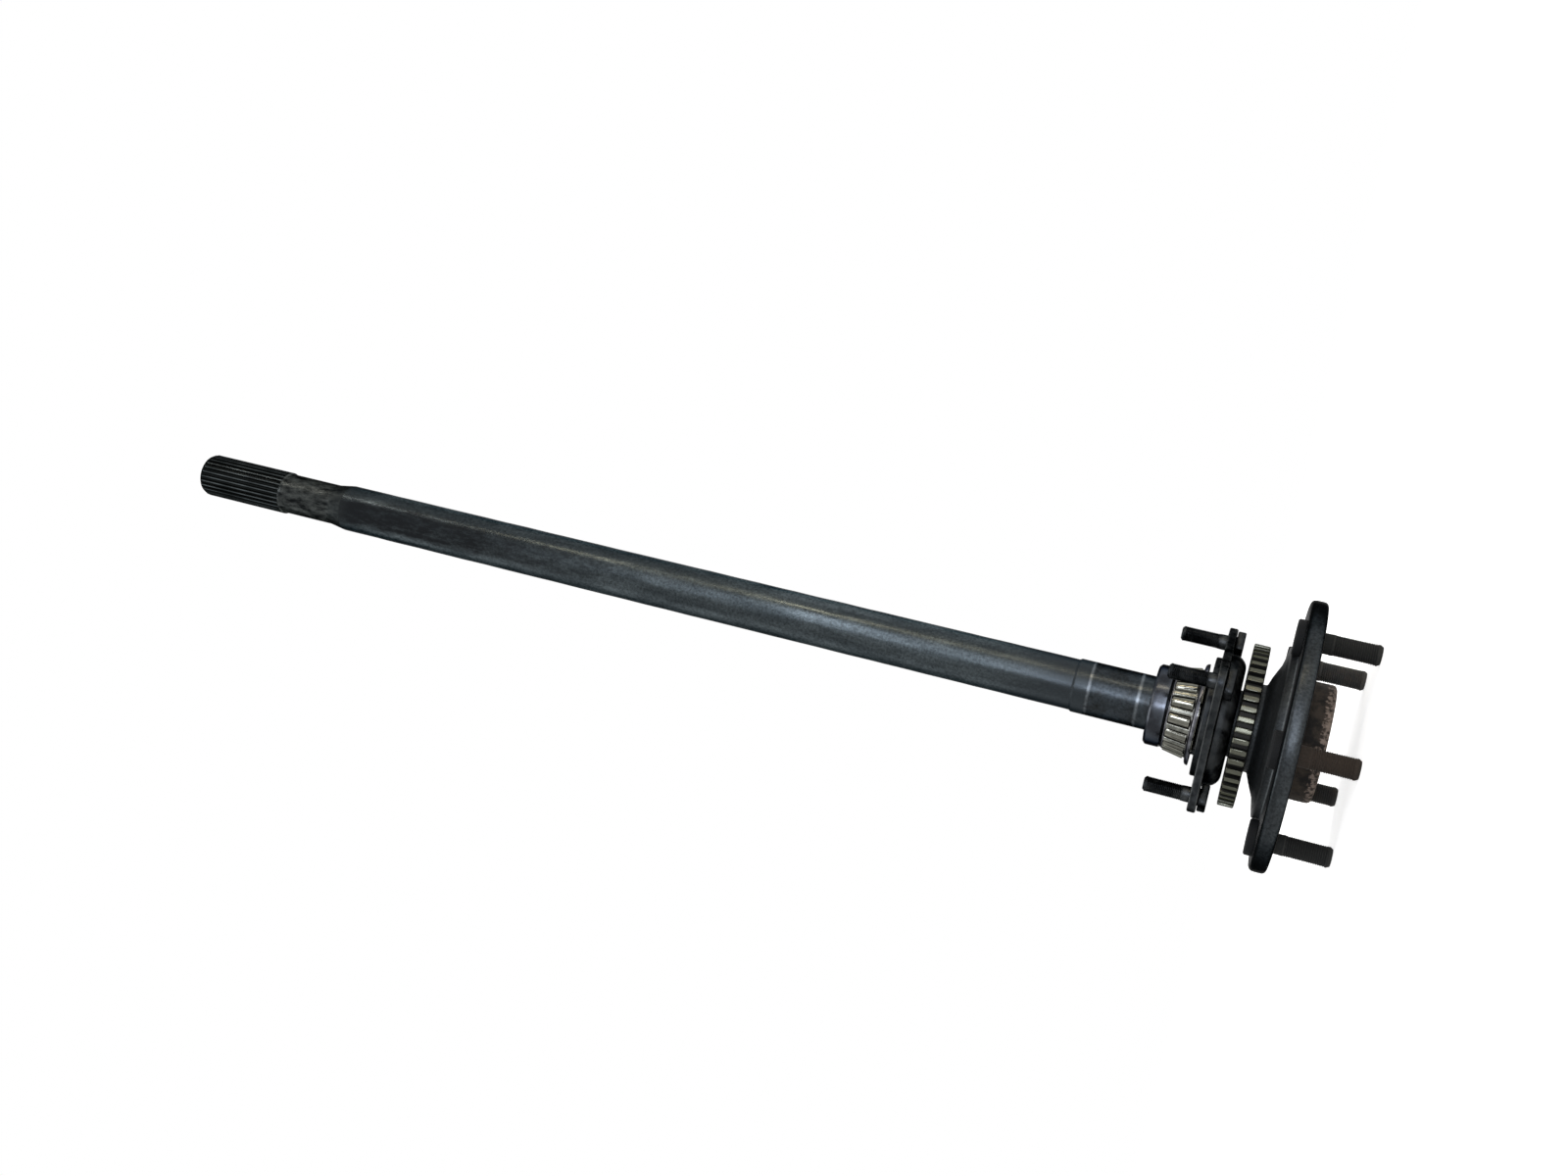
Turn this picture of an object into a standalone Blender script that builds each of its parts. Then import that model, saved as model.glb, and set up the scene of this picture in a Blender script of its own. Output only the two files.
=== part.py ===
"""Semi-floating rear axle shaft with its wheel studs, tone ring, loose retainer and tapered roller bearing.

The shaft stands on the tips of its five wheel studs. Its axis is +Z, with the splined end up, and the first
wheel stud lies on +X. Lengths are in metres.
"""
import math

import bmesh
import bpy
from mathutils import Matrix, Vector

MM = 0.001

# Clearances between pieces that touch or run on each other
FIT = 0.3 * MM
RUNNING_GAP = 0.2 * MM
MERGE = 0.01 * MM

# How finely round pieces are faceted
ROUND_SIDES = 48
SEAL_SIDES = 30
STUD_SIDES = 16
BOLT_SIDES = 16
ROLLER_SIDES = 12
SIDES_PER_WINDOW = 4
ARC_STEPS = 3

# Wheel flange and pilot hub, forged in one with the shaft
STUD_CIRCLE_RADIUS = 63.5 * MM
FLANGE_MARGIN = 19.0 * MM
FLANGE_THICKNESS = 10.2 * MM
RIM_FACE_ROUND = 3.0 * MM
RIM_BACK_ROUND = 4.0 * MM
PILOT_RADIUS = 35.75 * MM
PILOT_HEIGHT = 15.6 * MM
PILOT_ROUND = 3.0 * MM
PILOT_WALL = 11.75 * MM
DISH_DEPTH = 5.0 * MM
DISH_DRAFT = 3.0 * MM
CENTRE_DRILL_RADIUS = 4.0 * MM
CENTRE_DRILL_DEPTH = 5.0 * MM

# Boss behind the flange, a cone that ends in a step inside the stud heads
BOSS_HEIGHT = 15.6 * MM
BOSS_NECK_STEP = 2.8 * MM
BOSS_NECK_HEIGHT = 2.6 * MM
BOSS_WAIST_STEP = 5.2 * MM
BOSS_WAIST_HEIGHT = 11.0 * MM
BOSS_SHOULDER_INSET = 11.7 * MM
BOSS_SHOULDER_HEIGHT = 7.3 * MM
BOSS_EDGE_HEIGHT = 4.9 * MM
BOSS_EDGE_ROUND = 1.4 * MM

# Wheel studs, pressed in from behind the flange
STUD_COUNT = 5
STUD_RADIUS = 6.35 * MM
STUD_STICKOUT = 33.3 * MM
STUD_TIP_STEP = 1.15 * MM
STUD_TIP_CHAMFER = 2.0 * MM
STUD_HEAD_OVERHANG = 4.65 * MM
STUD_HEAD_THICKNESS = 4.6 * MM
STUD_HEAD_CHAMFER = 0.8 * MM

# Tone ring, pressed on the boss
TONE_RADIUS = 49.5 * MM
TONE_WIDTH = 9.5 * MM
TONE_SEAT_STEP = 3.7 * MM
TONE_TEETH = 48
TONE_TOOTH_DEPTH = 2.8 * MM
TONE_TIP_SHARE = 0.46
TONE_ROOT_SHARE = 0.60
TONE_HUB_WALL = 4.2 * MM
TONE_RIM_WALL = 4.7 * MM
TONE_WEB_RECESS = 3.0 * MM

# Retainer plate: a dished plate with four ears and a register for the axle housing
RETAINER_FLOAT = 1.5 * MM
RETAINER_TURN = math.radians(50.0)
SEAL_BORE_RADIUS = 31.0 * MM
REGISTER_WALL = 5.5 * MM
REGISTER_HEIGHT = 3.4 * MM
REGISTER_CHAMFER = 0.6 * MM
DOME_LEDGE = 3.8 * MM
DOME_DEPTH = 9.5 * MM
DOME_ROUND = 7.0 * MM
DOME_FLOOR_WIDTH = 6.0 * MM
DOME_WALL = 4.2 * MM
PLATE_THICKNESS = 5.1 * MM
PLATE_RIM = 2.7 * MM
EAR_WALL = 5.05 * MM

# T-bolts that hold the retainer to the axle housing
BOLT_COUNT = 4
BOLT_HEAD_CLEARANCE = 4.6 * MM
BOLT_RADIUS = 4.75 * MM
BOLT_LENGTH = 27.4 * MM
BOLT_TIP_CHAMFER = 1.2 * MM
BOLT_HEAD_DEPTH = 13.0 * MM
BOLT_HEAD_WIDTH = 16.0 * MM
BOLT_HEAD_THICKNESS = 4.9 * MM
BOLT_HEAD_ROUND = 1.2 * MM

# Oil seal in the retainer: steel case, rubber lip and garter spring, on a ground journal
SEAL_JOURNAL_STEP = 2.84 * MM
SEAL_HEIGHT = 9.6 * MM
SEAL_CASE_WALL = 1.2 * MM
SEAL_CASE_FLANGE = 4.0 * MM
SEAL_LIP_WEB = 1.6 * MM
SEAL_LIP_THICKNESS = 1.5 * MM
SEAL_LIP_LENGTH = 6.0 * MM
SPRING_WIRE_RADIUS = 0.6 * MM
SPRING_HEIGHT = 3.2 * MM

# Tapered roller bearing on the shaft; its outer ring stays in the axle housing
SHOULDER_HEIGHT = 1.0 * MM
BEARING_SEAT_RADIUS = 17.46 * MM
CONE_WIDTH = 19.3 * MM
CONE_RIB_RISE = 2.86 * MM
CONE_TOE_RISE = 1.27 * MM
CONE_CHAMFER = 0.8 * MM
ROLLER_COUNT = 15
ROLLER_SETBACK = 4.3 * MM
ROLLER_LENGTH = 12.9 * MM
ROLLER_HALF_ANGLE = math.radians(1.65)
ROLLER_EDGE = 0.4 * MM
RACE_WALL = 1.98 * MM
RACE_ANGLE = math.radians(7.65)
ROLLER_TURN = math.radians(18.6)

# Pressed steel cage that spaces the rollers
CAGE_OFFSET = 2.5 * MM
CAGE_WALL = 1.1 * MM
CAGE_LIP_WIDTH = 3.0 * MM
CAGE_LIP_THICKNESS = 1.5 * MM
CAGE_COLLAR_STEP = 1.0 * MM
CAGE_RING_HEIGHT = 2.7 * MM
CAGE_RING_RISE = 1.0 * MM
CAGE_TOE_THICKNESS = 1.1 * MM

# Retaining collar, shrunk on behind the bearing
COLLAR_WALL = 7.14 * MM
COLLAR_WIDTH = 10.2 * MM
COLLAR_CHAMFER = 1.6 * MM

# Journal, bar, neck and spline
JOURNAL_RELIEF = 0.71 * MM
JOURNAL_LENGTH = 46.0 * MM
BAR_RADIUS = 15.9 * MM
BAR_LENGTH = 520.0 * MM
BAR_FILLET = 1.5 * MM
NECK_RADIUS = 13.95 * MM
NECK_TAPER = 11.8 * MM
NECK_LENGTH = 39.7 * MM
SPLINE_RADIUS = 14.8 * MM
SPLINE_TOOTH_DEPTH = 1.3 * MM
SPLINE_LENGTH = 66.0 * MM
SPLINE_TEETH = 27
SPLINE_GAP_ROOT = 1.1 * MM
SPLINE_GAP_TOP = 2.2 * MM
SPLINE_RUNOUT = 4.5 * MM
SPLINE_CHAMFER = 2.5 * MM
SPLINE_CENTRE_RADIUS = 3.2 * MM
SPLINE_CENTRE_DEPTH = 5.5 * MM

# Radii that follow from the sizes above
FLANGE_RADIUS = STUD_CIRCLE_RADIUS + FLANGE_MARGIN
DISH_RADIUS = PILOT_RADIUS - PILOT_WALL
STUD_TIP_RADIUS = STUD_RADIUS - STUD_TIP_STEP
STUD_HEAD_RADIUS = STUD_RADIUS + STUD_HEAD_OVERHANG
BOSS_EDGE_RADIUS = STUD_CIRCLE_RADIUS - STUD_HEAD_RADIUS - FIT
BOSS_SHOULDER_RADIUS = BOSS_EDGE_RADIUS - BOSS_SHOULDER_INSET
SEAL_JOURNAL_RADIUS = BEARING_SEAT_RADIUS + SEAL_JOURNAL_STEP
TONE_SEAT_RADIUS = SEAL_JOURNAL_RADIUS + TONE_SEAT_STEP
BOSS_NECK_RADIUS = TONE_SEAT_RADIUS + BOSS_NECK_STEP
BOSS_WAIST_RADIUS = BOSS_NECK_RADIUS + BOSS_WAIST_STEP
TONE_ROOT_RADIUS = TONE_RADIUS - TONE_TOOTH_DEPTH
REGISTER_RADIUS = SEAL_BORE_RADIUS + REGISTER_WALL
DOME_RADIUS = REGISTER_RADIUS + DOME_LEDGE
DOME_BORE_RADIUS = SEAL_BORE_RADIUS - DOME_FLOOR_WIDTH
PLATE_WAIST = DOME_RADIUS + PLATE_RIM
BOLT_CIRCLE_RADIUS = DOME_RADIUS + BOLT_HEAD_CLEARANCE + BOLT_HEAD_DEPTH / 2.0
EAR_RADIUS = BOLT_RADIUS + EAR_WALL
CONE_BORE_RADIUS = BEARING_SEAT_RADIUS + FIT
RACE_RADIUS = CONE_BORE_RADIUS + RACE_WALL
CONE_RIB_RADIUS = RACE_RADIUS + CONE_RIB_RISE
COLLAR_RADIUS = CONE_BORE_RADIUS + COLLAR_WALL
JOURNAL_RADIUS = BEARING_SEAT_RADIUS - JOURNAL_RELIEF
SPLINE_ROOT_RADIUS = SPLINE_RADIUS - SPLINE_TOOTH_DEPTH

# Heights along the axis, stacked up from the stud tips
FLANGE_FACE_Z = STUD_STICKOUT
FLANGE_BACK_Z = FLANGE_FACE_Z + FLANGE_THICKNESS
BOSS_TOP_Z = FLANGE_BACK_Z + BOSS_HEIGHT
TONE_BOTTOM_Z = BOSS_TOP_Z + FIT
TONE_TOP_Z = TONE_BOTTOM_Z + TONE_WIDTH
DOME_FACE_Z = TONE_TOP_Z + RETAINER_FLOAT
PLATE_BACK_Z = DOME_FACE_Z + DOME_DEPTH
PLATE_FACE_Z = PLATE_BACK_Z + PLATE_THICKNESS
REGISTER_TOP_Z = PLATE_FACE_Z + REGISTER_HEIGHT
SHOULDER_Z = REGISTER_TOP_Z + SHOULDER_HEIGHT
CONE_BOTTOM_Z = SHOULDER_Z + FIT
CONE_TOP_Z = CONE_BOTTOM_Z + CONE_WIDTH
COLLAR_BOTTOM_Z = CONE_TOP_Z + FIT
COLLAR_TOP_Z = COLLAR_BOTTOM_Z + COLLAR_WIDTH
JOURNAL_TOP_Z = COLLAR_TOP_Z + JOURNAL_LENGTH
BAR_TOP_Z = JOURNAL_TOP_Z + BAR_LENGTH
NECK_BOTTOM_Z = BAR_TOP_Z + NECK_TAPER
SPLINE_BOTTOM_Z = NECK_BOTTOM_Z + NECK_LENGTH
SHAFT_TOP_Z = SPLINE_BOTTOM_Z + SPLINE_LENGTH

# Roller geometry: the raceway, the rollers' axes and their surfaces all meet at one apex on the axis
ROLLER_TILT = RACE_ANGLE + ROLLER_HALF_ANGLE
ROLLER_LARGE_Z = CONE_BOTTOM_Z + ROLLER_SETBACK
APEX_Z = ROLLER_LARGE_Z + RACE_RADIUS / math.tan(RACE_ANGLE)
ROLLER_REACH = (APEX_Z - ROLLER_LARGE_Z) / math.cos(ROLLER_TILT)
ROLLER_SMALL_Z = ROLLER_LARGE_Z + ROLLER_LENGTH * math.cos(ROLLER_TILT)
CONE_TOE_RADIUS = (APEX_Z - ROLLER_SMALL_Z) * math.tan(RACE_ANGLE) + CONE_TOE_RISE


def clear_scene():
    """Remove every object of the startup scene."""
    for obj in list(bpy.data.objects):
        bpy.data.objects.remove(obj, do_unlink=True)


def new_collection(name):
    """A collection linked to the scene."""
    collection = bpy.data.collections.new(name)
    bpy.context.scene.collection.children.link(collection)
    return collection


def material(name, colour, roughness, metallic):
    """A Principled material of one colour."""
    mat = bpy.data.materials.new(name)
    mat.use_nodes = True
    shader = mat.node_tree.nodes["Principled BSDF"]
    shader.inputs["Base Color"].default_value = (*colour, 1.0)
    shader.inputs["Roughness"].default_value = roughness
    shader.inputs["Metallic"].default_value = metallic
    return mat


def add_object(name, mesh, collection, mat=None):
    """An object for a mesh, with its material."""
    obj = bpy.data.objects.new(name, mesh)
    collection.objects.link(obj)
    if mat is not None:
        mesh.materials.clear()
        mesh.materials.append(mat)
    return obj


def shade(mesh):
    """Smooth shading with sharp edges where faces meet at more than 35 degrees."""
    mesh.shade_smooth()
    mesh.set_sharp_from_angle(angle=math.radians(35.0))


def arc(centre_r, centre_z, radius, start, end, steps=ARC_STEPS):
    """Points of a rounded corner in the (radius, height) plane, with angles in degrees from +r."""
    points = []
    for i in range(steps + 1):
        angle = math.radians(start + (end - start) * i / steps)
        points.append((centre_r + radius * math.cos(angle), centre_z + radius * math.sin(angle)))
    return points


def turned(name, profile, sides, collection, mat=None, closed=False):
    """A turned piece: a (radius, height) profile, down its outer side, under a Screw modifier."""
    mesh = bpy.data.meshes.new(name)
    points = [(r, 0.0, z) for r, z in profile]
    edges = [(i, i + 1) for i in range(len(points) - 1)]
    if closed:
        edges.append((len(points) - 1, 0))
    mesh.from_pydata(points, edges, [])
    obj = add_object(name, mesh, collection, mat)
    screw = obj.modifiers.new("Screw", "SCREW")
    screw.axis = "Z"
    screw.steps = sides
    screw.render_steps = sides
    screw.use_merge_vertices = True
    screw.merge_threshold = MERGE
    screw.use_smooth_shade = True
    return obj


def boolean(obj, cutter, operation):
    """A Boolean modifier with the exact solver."""
    mod = obj.modifiers.new(operation.title(), "BOOLEAN")
    mod.operation = operation
    mod.solver = "EXACT"
    mod.object = cutter


def hide(cutter):
    """Mark a cutter as a construction aid."""
    cutter.hide_render = True
    cutter.display_type = "WIRE"


def settled_mesh(obj, name):
    """The evaluated mesh of an object, for a shape that several objects share."""
    bpy.context.view_layer.update()
    graph = bpy.context.evaluated_depsgraph_get()
    mesh = bpy.data.meshes.new_from_object(obj.evaluated_get(graph))
    mesh.name = name
    return mesh


def finish(collection):
    """Settle the modifiers of each piece into its mesh, and shade it."""
    for obj in collection.objects:
        if obj.modifiers:
            mesh = settled_mesh(obj, obj.name)
            obj.modifiers.clear()
            obj.data = mesh
        shade(obj.data)


def around(count, turn=0.0):
    """The angles of a pattern spaced evenly about the axis."""
    return [turn + 2.0 * math.pi * i / count for i in range(count)]


def circle_points(centre, radius, sides):
    """A flat circle's points, as (x, y)."""
    return [(centre[0] + radius * math.cos(a), centre[1] + radius * math.sin(a)) for a in around(sides)]


def flat_plate(name, outlines, bottom_z, thickness, collection):
    """A flat plate from closed outlines, of which those inside others are holes."""
    curve = bpy.data.curves.new(name, "CURVE")
    curve.dimensions = "2D"
    curve.fill_mode = "BOTH"
    curve.extrude = thickness / 2.0
    for points in outlines:
        spline = curve.splines.new("POLY")
        spline.points.add(len(points) - 1)
        for point, (x, y) in zip(spline.points, points):
            point.co = (x, y, 0.0, 1.0)
        spline.use_cyclic_u = True
    guide = bpy.data.objects.new(name + "_outline", curve)
    guide.location.z = bottom_z + thickness / 2.0
    collection.objects.link(guide)
    mesh = settled_mesh(guide, name)
    build = bmesh.new()
    build.from_mesh(mesh)
    bmesh.ops.remove_doubles(build, verts=build.verts, dist=MERGE)
    build.to_mesh(mesh)
    build.free()
    plate = add_object(name, mesh, collection)
    plate.matrix_world = guide.matrix_world
    bpy.data.objects.remove(guide, do_unlink=True)
    return plate


def shaft_profile():
    """The shaft from the centre drilled in its spline end, down its outside, to the one in the pilot hub."""
    edge_r = BOSS_EDGE_RADIUS
    edge_z = FLANGE_BACK_Z + BOSS_EDGE_HEIGHT
    pilot_z = FLANGE_FACE_Z - PILOT_HEIGHT
    dish_z = pilot_z + DISH_DEPTH
    profile = [
        (0.0, SHAFT_TOP_Z - SPLINE_CENTRE_DEPTH),
        (SPLINE_CENTRE_RADIUS, SHAFT_TOP_Z),
        (SPLINE_RADIUS - SPLINE_CHAMFER / 2.0, SHAFT_TOP_Z),
        (SPLINE_RADIUS, SHAFT_TOP_Z - SPLINE_CHAMFER),
        (SPLINE_RADIUS, SPLINE_BOTTOM_Z),
        (NECK_RADIUS, SPLINE_BOTTOM_Z - (SPLINE_RADIUS - NECK_RADIUS)),
        (NECK_RADIUS, NECK_BOTTOM_Z),
        (BAR_RADIUS, BAR_TOP_Z),
        (BAR_RADIUS, JOURNAL_TOP_Z + BAR_FILLET),
        (JOURNAL_RADIUS, JOURNAL_TOP_Z),
        (JOURNAL_RADIUS, COLLAR_TOP_Z + FIT),
        (BEARING_SEAT_RADIUS, COLLAR_TOP_Z - (BEARING_SEAT_RADIUS - JOURNAL_RADIUS)),
        (BEARING_SEAT_RADIUS, SHOULDER_Z),
        (SEAL_JOURNAL_RADIUS, SHOULDER_Z),
        (SEAL_JOURNAL_RADIUS, TONE_TOP_Z + FIT),
        (TONE_SEAT_RADIUS, TONE_TOP_Z),
        (TONE_SEAT_RADIUS, BOSS_TOP_Z),
        (BOSS_NECK_RADIUS, BOSS_TOP_Z),
        (BOSS_NECK_RADIUS, BOSS_TOP_Z - BOSS_NECK_HEIGHT),
        (BOSS_WAIST_RADIUS, FLANGE_BACK_Z + BOSS_WAIST_HEIGHT),
        (BOSS_SHOULDER_RADIUS, FLANGE_BACK_Z + BOSS_SHOULDER_HEIGHT),
    ]
    profile += arc(edge_r - BOSS_EDGE_ROUND, edge_z - BOSS_EDGE_ROUND, BOSS_EDGE_ROUND, 75.0, 0.0, 2)
    profile += [(edge_r, FLANGE_BACK_Z)]
    profile += arc(FLANGE_RADIUS - RIM_BACK_ROUND, FLANGE_BACK_Z - RIM_BACK_ROUND, RIM_BACK_ROUND, 90.0, 0.0)
    profile += arc(FLANGE_RADIUS - RIM_FACE_ROUND, FLANGE_FACE_Z + RIM_FACE_ROUND, RIM_FACE_ROUND, 0.0, -90.0)
    profile += [(PILOT_RADIUS, FLANGE_FACE_Z)]
    profile += arc(PILOT_RADIUS - PILOT_ROUND, pilot_z + PILOT_ROUND, PILOT_ROUND, 0.0, -90.0)
    profile += [
        (DISH_RADIUS, pilot_z),
        (DISH_RADIUS - DISH_DRAFT, dish_z),
        (CENTRE_DRILL_RADIUS, dish_z),
        (0.0, dish_z + CENTRE_DRILL_DEPTH),
    ]
    return profile


def spline_gap_cutter(collection):
    """Twenty-seven tapered gaps between the spline teeth, each ending in a sloping run-out."""
    build = bmesh.new()
    over_r = SPLINE_RADIUS + 2.0 * FIT
    spread = (SPLINE_GAP_TOP - SPLINE_GAP_ROOT) / (SPLINE_RADIUS - SPLINE_ROOT_RADIUS)
    over_gap = SPLINE_GAP_ROOT + spread * (over_r - SPLINE_ROOT_RADIUS)
    top_z = SHAFT_TOP_Z + FIT
    for angle in around(SPLINE_TEETH):
        made = bmesh.ops.create_cube(build, size=1.0)
        for vert in made["verts"]:
            outer = vert.co.x > 0.0
            radius = over_r if outer else SPLINE_ROOT_RADIUS
            half_gap = (over_gap if outer else SPLINE_GAP_ROOT) / 2.0
            end_z = SPLINE_BOTTOM_Z - FIT + (0.0 if outer else SPLINE_RUNOUT)
            height = top_z if vert.co.z > 0.0 else end_z
            vert.co = (radius, math.copysign(half_gap, vert.co.y), height)
        bmesh.ops.rotate(build, verts=made["verts"], matrix=Matrix.Rotation(angle, 3, "Z"))
    mesh = bpy.data.meshes.new("spline_gaps")
    build.to_mesh(mesh)
    build.free()
    cutter = add_object("spline_gaps", mesh, collection)
    hide(cutter)
    return cutter


def stud_hole_cutter(collection):
    """Five straight holes through the flange."""
    build = bmesh.new()
    depth = FLANGE_THICKNESS + 2.0 * FIT
    for angle in around(STUD_COUNT):
        place = Matrix.Rotation(angle, 4, "Z") @ Matrix.Translation(
            (STUD_CIRCLE_RADIUS, 0.0, FLANGE_FACE_Z + FLANGE_THICKNESS / 2.0))
        bmesh.ops.create_cone(build, cap_ends=True, segments=STUD_SIDES, radius1=STUD_RADIUS + FIT,
                              radius2=STUD_RADIUS + FIT, depth=depth, matrix=place)
    mesh = bpy.data.meshes.new("stud_holes")
    build.to_mesh(mesh)
    build.free()
    cutter = add_object("stud_holes", mesh, collection)
    hide(cutter)
    return cutter


def make_axle_shaft(parts, cutters, mat):
    """The forged shaft: spline, neck, bar, journals, boss, flange and pilot hub in one."""
    shaft = turned("axle_shaft", shaft_profile(), ROUND_SIDES, parts, mat)
    boolean(shaft, stud_hole_cutter(cutters), "DIFFERENCE")
    boolean(shaft, spline_gap_cutter(cutters), "DIFFERENCE")


def make_wheel_studs(parts, mat):
    """Five pressed-in wheel studs with round heads behind the flange."""
    head_z = FLANGE_BACK_Z + FIT
    top_z = head_z + STUD_HEAD_THICKNESS
    profile = [
        (0.0, top_z),
        (STUD_HEAD_RADIUS - STUD_HEAD_CHAMFER, top_z),
        (STUD_HEAD_RADIUS, top_z - STUD_HEAD_CHAMFER),
        (STUD_HEAD_RADIUS, head_z),
        (STUD_RADIUS, head_z),
        (STUD_RADIUS, STUD_TIP_CHAMFER),
        (STUD_TIP_RADIUS, 0.0),
        (0.0, 0.0),
    ]
    for i, angle in enumerate(around(STUD_COUNT)):
        stud = turned("wheel_stud_%d" % (i + 1), profile, STUD_SIDES, parts, mat)
        stud.location = (STUD_CIRCLE_RADIUS * math.cos(angle), STUD_CIRCLE_RADIUS * math.sin(angle), 0.0)
        stud.rotation_euler.z = angle


def tone_outline():
    """The toothed outline: each tooth has two tip corners and two root corners."""
    pitch = 2.0 * math.pi / TONE_TEETH
    points = []
    for angle in around(TONE_TEETH):
        half_root = pitch * TONE_ROOT_SHARE / 2.0
        half_tip = pitch * TONE_TIP_SHARE / 2.0
        for radius, turn in ((TONE_ROOT_RADIUS, -half_root), (TONE_RADIUS, -half_tip),
                             (TONE_RADIUS, half_tip), (TONE_ROOT_RADIUS, half_root)):
            points.append((radius * math.cos(angle + turn), radius * math.sin(angle + turn)))
    return points


def make_tone_ring(parts, cutters, mat):
    """The toothed ring, with a forged recess on the side that faces the flange."""
    bore = circle_points((0.0, 0.0), TONE_SEAT_RADIUS + FIT, ROUND_SIDES)
    ring = flat_plate("tone_ring", [tone_outline(), bore], TONE_BOTTOM_Z, TONE_WIDTH, parts)
    ring.data.materials.append(mat)
    top_z = TONE_BOTTOM_Z + TONE_WEB_RECESS
    hub_r = TONE_SEAT_RADIUS + FIT + TONE_HUB_WALL
    rim_r = TONE_ROOT_RADIUS - TONE_RIM_WALL
    recess = [(rim_r, top_z), (rim_r, TONE_BOTTOM_Z - FIT), (hub_r, TONE_BOTTOM_Z - FIT), (hub_r, top_z)]
    cutter = turned("tone_recess", recess, ROUND_SIDES, cutters, closed=True)
    hide(cutter)
    boolean(ring, cutter, "DIFFERENCE")


def ear_outline():
    """Four ears round the bolts, joined by shallow hollow sides.

    The centre of each side's arc lies between two ears, at the distance where the arc touches both ears'
    circles and comes to the waist at its middle.
    """
    step = math.pi / BOLT_COUNT
    inset = EAR_RADIUS - PLATE_WAIST
    side_distance = (BOLT_CIRCLE_RADIUS ** 2 - inset ** 2) / (2.0 * (BOLT_CIRCLE_RADIUS * math.cos(step) + inset))
    side_radius = side_distance - PLATE_WAIST
    points = []
    for angle in around(BOLT_COUNT, RETAINER_TURN):
        ear = Vector((BOLT_CIRCLE_RADIUS, 0.0))
        side = Vector((side_distance * math.cos(step), side_distance * math.sin(step)))
        touch = math.atan2(side.y - ear.y, side.x - ear.x)
        local = [(ear.x + EAR_RADIUS * math.cos(a), ear.y + EAR_RADIUS * math.sin(a))
                 for a in [touch * (i / 5.0 - 1.0) for i in range(11)]]
        first = math.atan2(ear.y - side.y, ear.x - side.x) % (2.0 * math.pi)
        last = 2.0 * (step + math.pi) - first
        local += [(side.x + side_radius * math.cos(a), side.y + side_radius * math.sin(a))
                  for a in [first + (last - first) * i / 6.0 for i in range(1, 6)]]
        turn = Matrix.Rotation(angle, 2)
        points += [tuple(turn @ Vector(p)) for p in local]
    return points


def bolt_centres():
    """The four bolts' places in plan."""
    return [(BOLT_CIRCLE_RADIUS * math.cos(a), BOLT_CIRCLE_RADIUS * math.sin(a))
            for a in around(BOLT_COUNT, RETAINER_TURN)]


def make_retainer_plate(parts, cutters, mat):
    """The dished retainer: a turned dome with its register, and a plate with four ears joined to it."""
    floor_z = DOME_FACE_Z + DOME_WALL
    profile = [(SEAL_BORE_RADIUS, REGISTER_TOP_Z), (REGISTER_RADIUS - REGISTER_CHAMFER, REGISTER_TOP_Z),
               (REGISTER_RADIUS, REGISTER_TOP_Z - REGISTER_CHAMFER), (REGISTER_RADIUS, PLATE_FACE_Z),
               (DOME_RADIUS, PLATE_FACE_Z)]
    profile += arc(DOME_RADIUS - DOME_ROUND, DOME_FACE_Z + DOME_ROUND, DOME_ROUND, 0.0, -90.0)
    profile += [(DOME_BORE_RADIUS, DOME_FACE_Z), (DOME_BORE_RADIUS, floor_z), (SEAL_BORE_RADIUS, floor_z)]
    retainer = turned("retainer_plate", profile, ROUND_SIDES, parts, mat, closed=True)
    hole_r = BOLT_RADIUS + FIT
    outlines = [ear_outline(), circle_points((0.0, 0.0), REGISTER_RADIUS, ROUND_SIDES)]
    outlines += [circle_points(centre, hole_r, BOLT_SIDES) for centre in bolt_centres()]
    ears = flat_plate("retainer_ears", outlines, PLATE_BACK_Z, PLATE_THICKNESS, cutters)
    hide(ears)
    boolean(retainer, ears, "UNION")


def make_t_bolts(parts, cutters, mat):
    """Four T-bolts, put in from the flange side so that their threads point along the shaft."""
    head_top = PLATE_BACK_Z - FIT
    tip_z = PLATE_FACE_Z + BOLT_LENGTH
    build = bmesh.new()
    bmesh.ops.create_cube(build, size=1.0)
    for vert in build.verts:
        vert.co = (vert.co.x * BOLT_HEAD_DEPTH, vert.co.y * BOLT_HEAD_WIDTH, vert.co.z * BOLT_HEAD_THICKNESS)
    uprights = [e for e in build.edges if abs(e.verts[0].co.z - e.verts[1].co.z) > BOLT_HEAD_THICKNESS / 2.0]
    bmesh.ops.bevel(build, geom=uprights, offset=BOLT_HEAD_ROUND, segments=2, affect="EDGES", profile=0.5)
    mesh = bpy.data.meshes.new("t_bolt_head")
    build.to_mesh(mesh)
    build.free()
    head = add_object("t_bolt_head", mesh, cutters)
    head.location.z = head_top - BOLT_HEAD_THICKNESS / 2.0
    hide(head)
    profile = [
        (0.0, tip_z),
        (BOLT_RADIUS - BOLT_TIP_CHAMFER, tip_z),
        (BOLT_RADIUS, tip_z - BOLT_TIP_CHAMFER),
        (BOLT_RADIUS, head_top - BOLT_HEAD_THICKNESS / 2.0),
        (0.0, head_top - BOLT_HEAD_THICKNESS / 2.0),
    ]
    shank = turned("t_bolt_shank", profile, BOLT_SIDES, cutters)
    boolean(shank, head, "UNION")
    shared = settled_mesh(shank, "t_bolt")
    hide(shank)
    for i, ((x, y), angle) in enumerate(zip(bolt_centres(), around(BOLT_COUNT, RETAINER_TURN))):
        bolt = add_object("t_bolt_%d" % (i + 1), shared, parts, mat)
        bolt.location = (x, y, 0.0)
        bolt.rotation_euler.z = angle


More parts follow.
